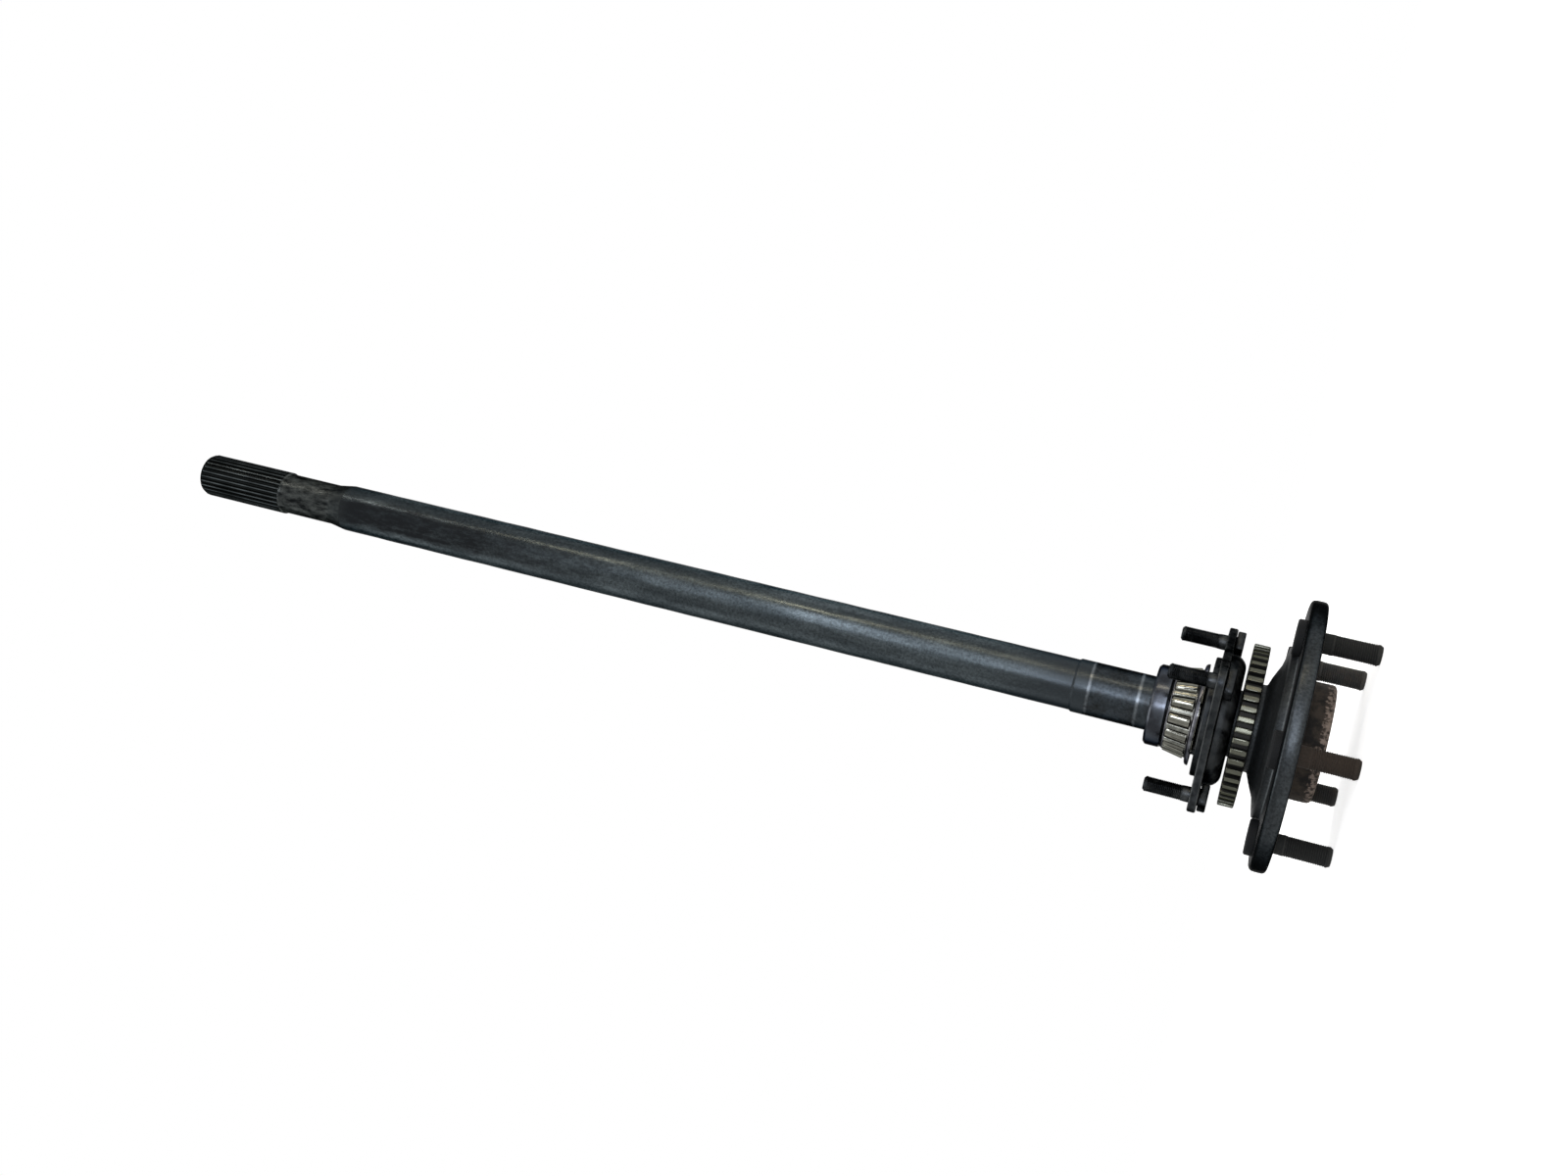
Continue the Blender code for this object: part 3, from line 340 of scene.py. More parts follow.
def height_of(tree, point):
    """A point's height above the stud tips: its third part."""
    return add(tree, "SeparateXYZ", {0: point}, out="Z")


def from_axis(tree, point):
    """A point's distance from the shaft's axis: the length of its flat part."""
    flat = add(tree, "VectorMath", {0: point, 1: (1.0, 1.0, 0.0)}, operation="MULTIPLY")
    return add(tree, "VectorMath", {0: flat}, operation="LENGTH")


def tool_rings(tree, point, scale, detail=3.0):
    """The rings that a tool leaves round the axis: noise over (distance from the axis, height)."""
    place = add(tree, "CombineXYZ", {"X": from_axis(tree, point), "Y": height_of(tree, point)})
    return add(tree, "TexNoise", {"Vector": place, "Scale": scale, "Detail": detail})


# Hobbed spline steel: near black from hot oil and wear dust, with a fine grey line painted along each crest
# as the highlight that the tooth tops catch. It is specked 2.4 mm and stained 14 mm across.
mat, tree, shader, point = steel("oil_blackened_hobbed_steel", "#181a1a", 0.44)
speck = add(tree, "TexNoise", {"Vector": point, "Scale": 420.0, "Detail": 4.0})
stain = add(tree, "TexNoise", {"Vector": point, "Scale": 70.0, "Detail": 3.0})
worn = add(tree, "Attribute", out="Fac", attribute_name="wear")
axes = add(tree, "SeparateXYZ", {0: point}).node.outputs
# Painted highlight: a fine grey line along the top of each tooth, where it would catch light, broken by the
# stains.
crest = add(tree, "Math", {0: axes["Y"], 1: axes["X"]}, operation="ARCTAN2")
crest = add(tree, "Math", {0: crest, 1: float(SPLINE_TEETH)}, operation="MULTIPLY")
crest = add(tree, "Math", {0: crest}, operation="COSINE")
crest = add(tree, "MapRange", {0: crest, 1: -0.72, 2: -0.97})
crest = add(tree, "Math", {0: crest, 1: worn}, operation="MULTIPLY")
rub = add(tree, "MapRange", {0: stain, 1: 0.32, 2: 0.62, 3: 0.35, 4: 1.0})
rub = add(tree, "Math", {0: crest, 1: rub}, operation="MULTIPLY")
ground = add(tree, "Mix", {0: stain, 6: "#111313", 7: "#1e2020"}, data_type="RGBA")
colour = add(tree, "Mix", {0: rub, 6: ground, 7: "#545a5c"}, data_type="RGBA")
bump = add(tree, "Bump", {"Strength": 0.25, "Distance": 0.05 * MM, "Height": speck})
fill(shader, {"Base Color": colour, "Normal": bump})
shaft.data.materials.append(mat)

# Turned neck steel: dull grey, with the tool's rings faint round it, and smudges of black oil 4 mm wide,
# drawn out along the shaft. Real feed marks are too fine to show, so the rings are drawn 2.2 mm wide.
mat, tree, shader, point = steel("turned_neck_steel", "#34383a", 0.38, "#8a8a8a")
high = height_of(tree, point)
rings = tool_rings(tree, point, 450.0)
smear = add(tree, "VectorMath", {0: point, 1: (1.0, 1.0, 0.35)}, operation="MULTIPLY")
smudge = add(tree, "TexNoise", {"Vector": smear, "Scale": 260.0, "Detail": 7.0, "Roughness": 0.75})
dirt = add(tree, "MapRange", {0: smudge, 1: 0.36, 2: 0.60})
colour = add(tree, "Mix", {0: dirt, 6: "#464948", 7: "#141617"}, data_type="RGBA")
meet = add(tree, "MapRange", {0: high, 1: 0.702, 2: 0.688, 4: 0.6}, interpolation_type="SMOOTHSTEP")
colour = add(tree, "Mix", {0: meet, 6: colour, 7: "#2b2e2f"}, data_type="RGBA")
lines = add(tree, "Mix", {0: 0.12, 6: colour, 7: rings}, data_type="RGBA", blend_type="OVERLAY")
bump = add(tree, "Bump", {"Strength": 0.3, "Distance": 0.04 * MM, "Height": rings})
fill(shader, {"Base Color": lines, "Normal": bump})
shaft.data.materials.append(mat)

# Forging skin under oil: blue-grey scale, mottled 5 to 20 mm across, smeared along the bar, with a fine grain
# 1.6 mm wide. Towards the spline one side is stained black in patches 4 mm wide. The oil film lies uneven
# over 17 mm and breaks the highlight.
mat, tree, shader, point = steel("oiled_forging_skin", "#43494c", 0.34, "#a0a0a0")
high = height_of(tree, point)
smear = add(tree, "VectorMath", {0: point, 1: (1.0, 1.0, 0.22)}, operation="MULTIPLY")
mottle = add(tree, "TexNoise", {"Vector": smear, "Scale": 75.0, "Detail": 6.0, "Roughness": 0.62})
grain = add(tree, "TexNoise", {"Vector": point, "Scale": 620.0, "Detail": 5.0, "Roughness": 0.7})
tone = add(tree, "MapRange", {0: mottle, 1: 0.38, 2: 0.64}, interpolation_type="SMOOTHSTEP")
scale = add(tree, "Mix", {0: tone, 6: "#383e41", 7: "#4a5154"}, data_type="RGBA")
fine = add(tree, "MapRange", {0: grain, 1: 0.32, 2: 0.68, 3: 0.40, 4: 1.06})
scale = add(tree, "VectorMath", {0: scale, "Scale": fine}, operation="SCALE")
drawn = add(tree, "VectorMath", {0: point, 1: (1.0, 1.0, 0.28)}, operation="MULTIPLY")
burnt = add(tree, "TexNoise", {"Vector": drawn, "Scale": 250.0, "Detail": 8.0, "Roughness": 0.78})
near = add(tree, "MapRange", {0: high, 1: 0.40, 2: 0.60, 3: -0.36, 4: 0.05})
side = add(tree, "VectorMath", {0: point, 1: (0.326, -0.946, 0.0)}, operation="DOT_PRODUCT")
side = add(tree, "MapRange", {0: side, 1: 0.0112, 2: 0.0146, 3: -0.17, 4: 0.10})
burnt = add(tree, "Math", {0: burnt, 1: near}, operation="ADD")
burnt = add(tree, "Math", {0: burnt, 1: side}, operation="ADD")
burnt = add(tree, "MapRange", {0: burnt, 1: 0.40, 2: 0.68})
colour = add(tree, "Mix", {0: burnt, 6: scale, 7: "#1f2123"}, data_type="RGBA")
meet = add(tree, "MapRange", {0: high, 1: 0.677, 2: 0.687, 4: 0.6}, interpolation_type="SMOOTHSTEP")
colour = add(tree, "Mix", {0: meet, 6: colour, 7: "#2b2e2f"}, data_type="RGBA")
foot = add(tree, "MapRange", {0: high, 1: 0.240, 2: 0.168, 4: 0.85}, interpolation_type="SMOOTHSTEP")
colour = add(tree, "Mix", {0: foot, 6: colour, 7: "#2c3033"}, data_type="RGBA")
film = add(tree, "TexNoise", {"Vector": smear, "Scale": 60.0, "Detail": 4.0})
gloss = add(tree, "MapRange", {0: film, 1: 0.35, 2: 0.65, 3: 0.20, 4: 0.42})
bump = add(tree, "Bump", {"Strength": 0.2, "Distance": 0.06 * MM, "Height": grain})
fill(shader, {"Base Color": colour, "Roughness": gloss, "Normal": bump})
shaft.data.materials.append(mat)

# Ground journal steel: smoother, with grinding rings and a grainy film of brown oil, and two broken light
# lines painted round it, part rubbed metal and part painted highlight on the edges of the ground seats. Above
# the upper one the bar's skin of scale and oil begins. The grain is 1.8 mm wide and the oil's patches 17 mm.
# The rings are drawn 1.4 mm wide, since real ones are too fine to show.
LINES_MIDDLE, LINES_APART = 0.1419, 0.0149  # the lines lie this far above and below their middle
mat, tree, shader, point = steel("ground_journal_steel", "#303438", 0.30, "#909090")
high = height_of(tree, point)
rings = tool_rings(tree, point, 700.0)
smudge = add(tree, "TexNoise", {"Vector": point, "Scale": 60.0, "Detail": 5.0, "Roughness": 0.6})
oil = add(tree, "MapRange", {0: smudge, 1: 0.38, 2: 0.64}, interpolation_type="SMOOTHSTEP")
colour = add(tree, "Mix", {0: oil, 6: "#33383c", 7: "#262829"}, data_type="RGBA")
grain = add(tree, "TexNoise", {"Vector": point, "Scale": 560.0, "Detail": 5.0, "Roughness": 0.7})
fine = add(tree, "MapRange", {0: grain, 1: 0.32, 2: 0.68, 3: 0.5, 4: 1.1})
colour = add(tree, "VectorMath", {0: colour, "Scale": fine}, operation="SCALE")
worn = add(tree, "Attribute", out="Fac", attribute_name="wear")
colour = add(tree, "Mix", {0: worn, 6: colour, 7: "#3c4043"}, data_type="RGBA")
# Two broken light lines, part rubbed metal and part painted highlight where the seats' edges catch light.
seat_line_highlight = add(tree, "Math", {0: high, 1: LINES_MIDDLE}, operation="SUBTRACT")
seat_line_highlight = add(tree, "Math", {0: seat_line_highlight}, operation="ABSOLUTE")
seat_line_highlight = add(tree, "Math", {0: seat_line_highlight, 1: LINES_APART}, operation="SUBTRACT")
seat_line_highlight = add(tree, "Math", {0: seat_line_highlight}, operation="ABSOLUTE")
seat_line_highlight = add(tree, "MapRange", {0: seat_line_highlight, 1: 0.0014, 2: 0.0002, 4: 0.26})
patchy = add(tree, "MapRange", {0: smudge, 1: 0.46, 2: 0.58, 3: 1.0, 4: 0.12})
seat_line_highlight = add(tree, "Math", {0: seat_line_highlight, 1: patchy}, operation="MULTIPLY")
colour = add(tree, "Mix", {0: seat_line_highlight, 6: colour, 7: "#8e9499"}, data_type="RGBA")
bump = add(tree, "Bump", {"Strength": 0.2, "Distance": 0.03 * MM, "Height": rings})
fill(shader, {"Base Color": colour, "Normal": bump})
shaft.data.materials.append(mat)

# Phosphated flange forging: very dark slate, turned with rings 1.1 mm apart that run round its rim and back,
# dulled by brake dust 1.5 mm wide in patches of 22 mm, and rubbed grey along its edges. Towards the axis
# the boss cone is painted lighter, as painted light in the shade of its recess.
mat, tree, shader, point = steel("phosphated_flange_forging", "#222527", 0.42, "#303030")
out = from_axis(tree, point)
rings = tool_rings(tree, point, 900.0)
dust = add(tree, "TexNoise", {"Vector": point, "Scale": 650.0, "Detail": 5.0, "Roughness": 0.7})
patch = add(tree, "TexNoise", {"Vector": point, "Scale": 45.0, "Detail": 4.0})
rim = add(tree, "MapRange", {0: out, 1: 0.060, 2: 0.0815}, interpolation_type="SMOOTHSTEP")
body = add(tree, "Mix", {0: rim, 6: "#202223", 7: "#2e3133"}, data_type="RGBA")
gloss = add(tree, "MapRange", {0: rim, 3: 0.46, 4: 0.34})
metal = add(tree, "MapRange", {0: rim, 3: 0.45, 4: 1.0})
grit = add(tree, "MapRange", {0: dust, 1: 0.35, 2: 0.7, 3: 0.55, 4: 1.35})
shade = add(tree, "MapRange", {0: patch, 1: 0.3, 2: 0.7, 3: 0.8, 4: 1.2})
grit = add(tree, "Math", {0: grit, 1: shade}, operation="MULTIPLY")
# Painted light: towards the axis the colour grows up to 2.1 times lighter, lifting the shaded boss cone
# between the flange and the tone ring.
painted_boss_light = add(tree, "MapRange", {0: out, 1: 0.053, 2: 0.045, 3: 1.0, 4: 2.1})
grit = add(tree, "Math", {0: grit, 1: painted_boss_light}, operation="MULTIPLY")
colour = add(tree, "VectorMath", {0: body, "Scale": grit}, operation="SCALE")
worn = add(tree, "Attribute", out="Fac", attribute_name="wear")
rub = add(tree, "Math", {0: worn, 1: dust}, operation="MULTIPLY")
colour = add(tree, "Mix", {0: rub, 6: colour, 7: "#6c7173"}, data_type="RGBA")
both = add(tree, "Math", {0: rings, 1: dust}, operation="ADD")
bump = add(tree, "Bump", {"Strength": 0.45, "Distance": 0.06 * MM, "Height": both})
fill(shader, {"Specular IOR Level": 0.3, "Roughness": gloss, "Metallic": metal, "Base Color": colour,
              "Normal": bump})
shaft.data.materials.append(mat)

# Rusted pilot hub and flange face: dull brown-black rust that blooms 9 mm across, with tan flakes about 2.6
# mm wide round the pilot's outer edge, where the wheel's bore has rubbed.
mat, tree, shader, point = steel("flaking_hub_rust", "#2c2724", 0.85)
out = from_axis(tree, point)
high = height_of(tree, point)
pits = add(tree, "TexNoise", {"Vector": point, "Scale": 380.0, "Detail": 7.0, "Roughness": 0.68})
bloom = add(tree, "TexNoise", {"Vector": point, "Scale": 110.0, "Detail": 6.0, "Roughness": 0.65})
brown = add(tree, "MapRange", {0: bloom, 1: 0.38, 2: 0.66}, interpolation_type="SMOOTHSTEP")
rust = add(tree, "Mix", {0: brown, 6: "#222120", 7: "#3d3731"}, data_type="RGBA")
edge = add(tree, "MapRange", {0: high, 1: 0.0265, 2: 0.0205, 3: -0.20, 4: 0.06},
           interpolation_type="SMOOTHSTEP")
outer = add(tree, "MapRange", {0: out, 1: 0.0345, 2: 0.0285, 4: 0.16}, interpolation_type="SMOOTHSTEP")
flake = add(tree, "Math", {0: pits, 1: edge}, operation="ADD")
flake = add(tree, "Math", {0: flake, 1: outer}, operation="SUBTRACT")
flake = add(tree, "MapRange", {0: flake, 1: 0.47, 2: 0.62}, interpolation_type="SMOOTHSTEP")
colour = add(tree, "Mix", {0: flake, 6: rust, 7: "#7f7268"}, data_type="RGBA")
bump = add(tree, "Bump", {"Strength": 0.8, "Distance": 0.25 * MM, "Height": pits})
fill(shader, {"Metallic": 0.0, "Specular IOR Level": 0.25, "Base Color": colour, "Normal": bump})
shaft.data.materials.append(mat)

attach(shaft, "axle")
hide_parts("axle_shaft")


# ---- Wheel studs: rolled thread, pressed in from behind the flange ----
# Five carbon steel studs of 12.7 mm with 20 threads to the inch, their round heads drawn tight against the
# flange's back. Their threads rust unevenly: one is brown, and the rest run from brownish to nearly black, and
# each thread is also painted lighter or darker as painted light for the light on that stud. The heads stay
# slate grey.
STUD_CIRCLE = 63.5
STUD_R, STUD_PITCH, STUD_THREAD_DEPTH = 6.35, 1.27, 0.62
STUD_THREAD = (1.6, 27.5)  # its low and high end
ROWS_PER_PITCH = 7.0
STUD_CORNERS = [(0.0, 48.4, 0), (3.4, 48.4, 0), (10.2, 48.4, 0.3), (11.0, 47.6, 0.4), (11.0, 43.62, 0.2),
                (6.5, 43.62, 0), (6.5, 33.9, 0.2), (6.15, 33.2, 0.2), (6.15, 28.4, 0.3), (6.35, 27.6, 0)]
STUD_TIP_CORNERS = [(6.35, 1.9, 0.3), (5.2, 0.05, 0.4), (3.0, 0.0, 0), (0.0, 0.0, 0)]
# Each stud's brownness, and a painted lightness that scales its thread's colour as painted light for the light
# that stud gets.
STUD_RUST_AND_PAINTED_LIGHT = {  # how brown each stud is, and how light
    1: (0.12, 0.62), 2: (0.30, 1.75), 3: (0.34, 1.05), 4: (0.0, 0.75), 5: (0.80, 0.7)}
STUD_CREST_DEPTH, STUD_THREAD_START = 0.12, 0.7


def threaded(z, angles, pitch, depth, low, high):
    """How deep a right-hand thread lies below its crests: depth times a rounded triangle wave of (height /
    pitch - angle / one turn), faded out over one and a half pitches at both ends."""
    turn = (z[:, None] / pitch - angles / (2.0 * np.pi)) % 1.0
    wave = np.clip(1.12 - 2.24 * np.abs(turn - 0.5), 0.0, 1.0)
    fade = np.clip(np.minimum(z - low, high - z) / (1.5 * pitch), 0.0, 1.0)
    return depth * wave * fade[:, None]


def once_round(count):
    """Equal steps of angle once round the axis: number x 2 pi / count."""
    return np.linspace(0.0, 2.0 * np.pi, count, endpoint=False)


# Rusted stud steel: near black where it is dry, with a bloom of brown 5 mm wide, and pits 1.1 mm wide that
# make the thread look rough.
mat, tree, shader, point = steel("rusted_stud_steel", "#3a302a", 0.78)
high = height_of(tree, point)
amount = add(tree, "Attribute", out="Fac", attribute_name="rust")
bloom = add(tree, "TexNoise", {"Vector": point, "Scale": 190.0, "Detail": 6.0, "Roughness": 0.65})
pits = add(tree, "TexNoise", {"Vector": point, "Scale": 900.0, "Detail": 4.0})
share = add(tree, "Math", {0: bloom, 1: amount}, operation="ADD")
share = add(tree, "MapRange", {0: share, 1: 0.62, 2: 1.35}, interpolation_type="SMOOTHSTEP")
shank = add(tree, "MapRange", {0: high, 1: 0.0434, 2: 0.0425})
share = add(tree, "Math", {0: share, 1: shank}, operation="MULTIPLY")
worn = add(tree, "Attribute", out="Fac", attribute_name="wear")
dark = add(tree, "Mix", {0: worn, 6: "#2f302f", 7: "#3d3d3b"}, data_type="RGBA")
dark = add(tree, "Mix", {0: shank, 6: "#1f2021", 7: dark}, data_type="RGBA")
brown = add(tree, "Mix", {0: pits, 6: "#2e2925", 7: "#443c35"}, data_type="RGBA")
colour = add(tree, "Mix", {0: share, 6: dark, 7: brown}, data_type="RGBA")
# Painted light: each thread's colour is scaled by its stud's painted lightness; the heads keep their own.
light = add(tree, "Attribute", out="Fac", attribute_name="painted_lightness")
light = add(tree, "Mix", {0: shank, 2: 1.0, 3: light})
colour = add(tree, "VectorMath", {0: colour, "Scale": light}, operation="SCALE")
metal = add(tree, "MapRange", {0: share, 3: 0.35, 4: 0.0})
bump = add(tree, "Bump", {"Strength": 0.6, "Distance": 0.1 * MM, "Height": pits})
fill(shader, {"Specular IOR Level": 0.3, "Base Color": colour, "Metallic": metal, "Normal": bump})
stud_mat = mat

angles = once_round(40)
upper = traced(STUD_CORNERS, step=3.0)
thread_z = np.arange(STUD_THREAD[1], STUD_THREAD[0] + 0.4, -STUD_PITCH / ROWS_PER_PITCH)
screw = np.column_stack((np.full(len(thread_z), STUD_R), thread_z))
tip = traced(STUD_TIP_CORNERS, step=3.0)
profile = np.vstack((upper[:-1], screw, tip))
for number, (brownness, painted_lightness) in STUD_RUST_AND_PAINTED_LIGHT.items():
    turn = 2.0 * np.pi * (number - 1) / len(STUD_RUST_AND_PAINTED_LIGHT)
    start = STUD_THREAD_START * number
    depth = threaded(profile[:, 1], angles + start, STUD_PITCH, STUD_THREAD_DEPTH, *STUD_THREAD)
    radius = profile[:, :1] - depth
    points = turned(np.stack(np.broadcast_arrays(radius, profile[:, 1:]), axis=-1), angles)
    points = points + np.array((np.cos(turn), np.sin(turn), 0.0)) * STUD_CIRCLE * MM
    crest = (depth < STUD_CREST_DEPTH) * (profile[:, 1:] < STUD_THREAD[1])
    stud = skin("wheel_stud_steel_%d" % number, points, np.maximum(crest, edge_wear(profile)[:, None]))
    for name, value in (("rust", brownness), ("painted_lightness", painted_lightness)):
        values = np.full(len(stud.data.vertices), value, np.float32)
        stud.data.attributes.new(name, "FLOAT", "POINT").data.foreach_set("value", values)
    stud.data.materials.append(stud_mat)
    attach(stud, "axle")
    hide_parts("wheel_stud_%d" % number)


# ---- Tone ring: toothed steel ring, pressed on the boss ----
# A machined ring whose 48 square teeth pass the wheel speed sensor. The teeth are bare and bright, with black
# grease and dust packed in their gaps; the side towards the flange is forged hollow.
TONE_TEETH, TONE_DEPTH, TOOTHED_R = 48, 2.8, 46.5
TONE_TIP, TONE_ROOT, TONE_ROUND = 0.46, 0.60, 0.12  # shares of a pitch, and of a tooth's flank
TONE_CORNERS = [(24.1, 68.4, 0), (24.6, 68.9, 0), (29.0, 68.9, 0), (37.5, 68.9, 0), (45.8, 68.9, 0),
                (49.0, 68.9, 0), (49.5, 68.4, 0), (49.5, 66.0, 0), (49.5, 62.3, 0), (49.5, 59.9, 0),
                (49.0, 59.4, 0), (45.8, 59.4, 0), (42.4, 59.4, 0.3), (42.0, 62.4, 0.5), (28.5, 62.4, 0.5),
                (28.5, 59.4, 0.3), (24.6, 59.4, 0), (24.1, 59.9, 0), (24.1, 64.2, 0)]

pitch = 2.0 * np.pi / TONE_TEETH
half_tip, half_root = pitch * TONE_TIP / 2.0, pitch * TONE_ROOT / 2.0
shoulder = half_tip + TONE_ROUND * (half_root - half_tip)
columns = np.array((0.0, 0.5, 0.88, 1.0)) * half_tip
columns = np.concatenate((columns, (shoulder, half_root, half_root * 1.08)))
columns = np.concatenate((-columns[1:][::-1], columns, (pitch / 2.0,)))
angles = (np.arange(TONE_TEETH)[:, None] * pitch + columns).ravel()
from_tooth = np.abs((angles + pitch / 2.0) % pitch - pitch / 2.0)
tooth = np.interp(from_tooth, (0.0, half_tip * 0.9, half_tip, shoulder, half_root, pitch),
                  (1.0, 1.0, 0.965, 0.86, 0.0, 0.0))
profile = traced(TONE_CORNERS, step=5.0)
toothed = profile[:, :1] > TOOTHED_R
radius = profile[:, :1] - toothed * TONE_DEPTH * (1.0 - tooth)
points = turned(np.stack(np.broadcast_arrays(radius, profile[:, 1:]), axis=-1), angles)
tone = skin("toothed_tone_ring", points, toothed * tooth, ring=True)

# Machined ring steel: bare and a little warm on the teeth, with cutting scratches 0.7 mm wide across them,
# and dulled to black where grease lies, in patches 8 mm wide.
mat, tree, shader, point = steel("machined_tone_ring_steel", "#5e5f56", 0.36)
grain = add(tree, "VectorMath", {0: point, 1: (1.0, 1.0, 0.12)}, operation="MULTIPLY")
scratch = add(tree, "TexNoise", {"Vector": grain, "Scale": 1400.0, "Detail": 3.0})
grease = add(tree, "TexNoise", {"Vector": point, "Scale": 130.0, "Detail": 5.0, "Roughness": 0.65})
worn = add(tree, "Attribute", out="Fac", attribute_name="wear")
clean = add(tree, "Math", {0: grease, 1: 0.36, 2: -0.18}, operation="MULTIPLY_ADD")
clean = add(tree, "Math", {0: worn, 1: clean}, operation="ADD")
clean = add(tree, "MapRange", {0: clean, 1: 0.55, 2: 0.98}, interpolation_type="SMOOTHSTEP")
bare = add(tree, "Mix", {0: scratch, 6: "#353632", 7: "#57584e"}, data_type="RGBA")
colour = add(tree, "Mix", {0: clean, 6: "#252524", 7: bare}, data_type="RGBA")
dull = add(tree, "MapRange", {0: clean, 3: 0.62, 4: 0.27})
bump = add(tree, "Bump", {"Strength": 0.25, "Distance": 0.04 * MM, "Height": scratch})
fill(shader, {"Base Color": colour, "Roughness": dull, "Normal": bump})
tone.data.materials.append(mat)
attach(tone, "axle")
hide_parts("tone_ring")


# ---- Retainer: dished plate with four ears, loose on the shaft ----
# A pressed steel plate that clamps the bearing into the axle housing. It has a domed cup for the oil seal, a
# turned register for the housing and an ear at each bolt. Black with oil and road grime.
EAR_COUNT, EAR_TURN = 4, np.radians(50.0)
EAR_CIRCLE, EAR_R, PLATE_WAIST = 51.4, 9.8, 43.0
RETAINER_ROWS = [  # radius, height, share of the ear outline, inset from it
    (31.0, 80.0, 0.0, 0.0), (31.0, 87.9, 0.0, 0.0), (31.5, 88.4, 0.0, 0.0), (33.4, 88.4, 0.0, 0.0),
    (35.7, 88.4, 0.0, 0.0), (36.3, 88.1, 0.0, 0.0), (36.5, 87.6, 0.0, 0.0), (36.5, 85.6, 0.0, 0.0),
    (36.8, 85.15, 0.0, 0.0), (37.4, 85.0, 0.0, 0.0), (37.4, 85.0, 0.4, 0.0), (37.4, 85.0, 0.8, 0.0),
    (37.4, 85.0, 1.0, 1.0), (37.4, 84.85, 1.0, 0.5), (37.4, 84.5, 1.0, 0.12), (37.4, 84.0, 1.0, 0.0),
    (37.4, 82.4, 1.0, 0.0), (37.4, 80.9, 1.0, 0.0), (37.4, 80.4, 1.0, 0.12), (37.4, 80.05, 1.0, 0.5),
    (37.4, 79.9, 1.0, 1.0), (42.0, 79.9, 0.6, 0.0), (41.4, 79.9, 0.0, 0.0), (40.5, 79.4, 0.0, 0.0),
    (40.3, 78.6, 0.0, 0.0), (40.25, 77.4, 0.0, 0.0), (39.8, 75.6, 0.0, 0.0), (38.9, 73.8, 0.0, 0.0),
    (37.4, 72.2, 0.0, 0.0), (35.6, 71.0, 0.0, 0.0), (33.8, 70.5, 0.0, 0.0), (32.6, 70.4, 0.0, 0.0),
    (29.0, 70.4, 0.0, 0.0), (25.6, 70.4, 0.0, 0.0), (25.15, 70.55, 0.0, 0.0), (25.0, 71.0, 0.0, 0.0),
    (25.0, 74.0, 0.0, 0.0), (25.3, 74.6, 0.0, 0.0), (30.7, 74.6, 0.0, 0.0), (31.0, 74.9, 0.0, 0.0)]

RUBBED_ROWS, RUBBED = (2, 4, 5, 12, 13, 14, 18, 19, 27, 28), 0.6
PLATE_WAVE = (0.05, 12.0)  # depth, typical length


def ear_outline(angles):
    """The plate's edge by angle. Within an ear's reach it is the far side of the ear's circle; between ears it
    is the near side of a large circle that touches both ears and comes to the waist midway."""
    step = np.pi / EAR_COUNT
    inset = EAR_R - PLATE_WAIST
    far = (EAR_CIRCLE ** 2 - inset ** 2) / (2.0 * (EAR_CIRCLE * np.cos(step) + inset))
    hollow = far - PLATE_WAIST
    lean = np.arctan2(far * np.sin(step), far * np.cos(step) - EAR_CIRCLE)
    touch = np.arctan2(EAR_R * np.sin(lean), EAR_CIRCLE + EAR_R * np.cos(lean))
    off = np.abs((angles - EAR_TURN + step) % (2.0 * step) - step)
    ear = EAR_CIRCLE * np.cos(off) + np.sqrt(np.maximum(EAR_R ** 2 - (EAR_CIRCLE * np.sin(off)) ** 2, 0.0))
    side = far * np.cos(step - off) - np.sqrt(np.maximum(hollow ** 2 - (far * np.sin(step - off)) ** 2, 0.0))
    return np.where(off < touch, ear, side)


angles = once_round(480)
rows = np.array(RETAINER_ROWS)
outline = ear_outline(angles)
radius = (1.0 - rows[:, 2:3]) * rows[:, :1] + rows[:, 2:3] * (outline - rows[:, 3:4])
height = rows[:, 1:2] + PLATE_WAVE[0] * forged_waves(angles, radius, PLATE_WAVE[1], seed=11)
points = turned(np.stack(np.broadcast_arrays(radius, height), axis=-1), angles)
edges = np.isin(np.arange(len(rows)), RUBBED_ROWS)[:, None] * RUBBED
retainer = skin("dished_retainer_plate", points, edges, ring=True)

# Oily black plate steel: grime in patches 8 mm wide, wet in some and dull in others, with grit 1.25 mm wide,
# and grey where the edges are rubbed.
mat, tree, shader, point = steel("oily_black_plate_steel", "#26282a", 0.36)
grime = add(tree, "TexNoise", {"Vector": point, "Scale": 120.0, "Detail": 6.0, "Roughness": 0.65})
grit = add(tree, "TexNoise", {"Vector": point, "Scale": 800.0, "Detail": 4.0})
tone_share = add(tree, "MapRange", {0: grime, 1: 0.36, 2: 0.66}, interpolation_type="SMOOTHSTEP")
ground = add(tree, "Mix", {0: tone_share, 6: "#191b1d", 7: "#2e3031"}, data_type="RGBA")
worn = add(tree, "Attribute", out="Fac", attribute_name="wear")
rub = add(tree, "Math", {0: worn, 1: grime}, operation="MULTIPLY")
colour = add(tree, "Mix", {0: rub, 6: ground, 7: "#626464"}, data_type="RGBA")
wet = add(tree, "MapRange", {0: grime, 1: 0.35, 2: 0.65, 3: 0.26, 4: 0.58})
bump = add(tree, "Bump", {"Strength": 0.5, "Distance": 0.08 * MM, "Height": grit})
fill(shader, {"Base Color": colour, "Roughness": wet, "Normal": bump})
retainer.data.materials.append(mat)
plate_mat = mat
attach(retainer, "retainer")
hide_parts("retainer_plate")


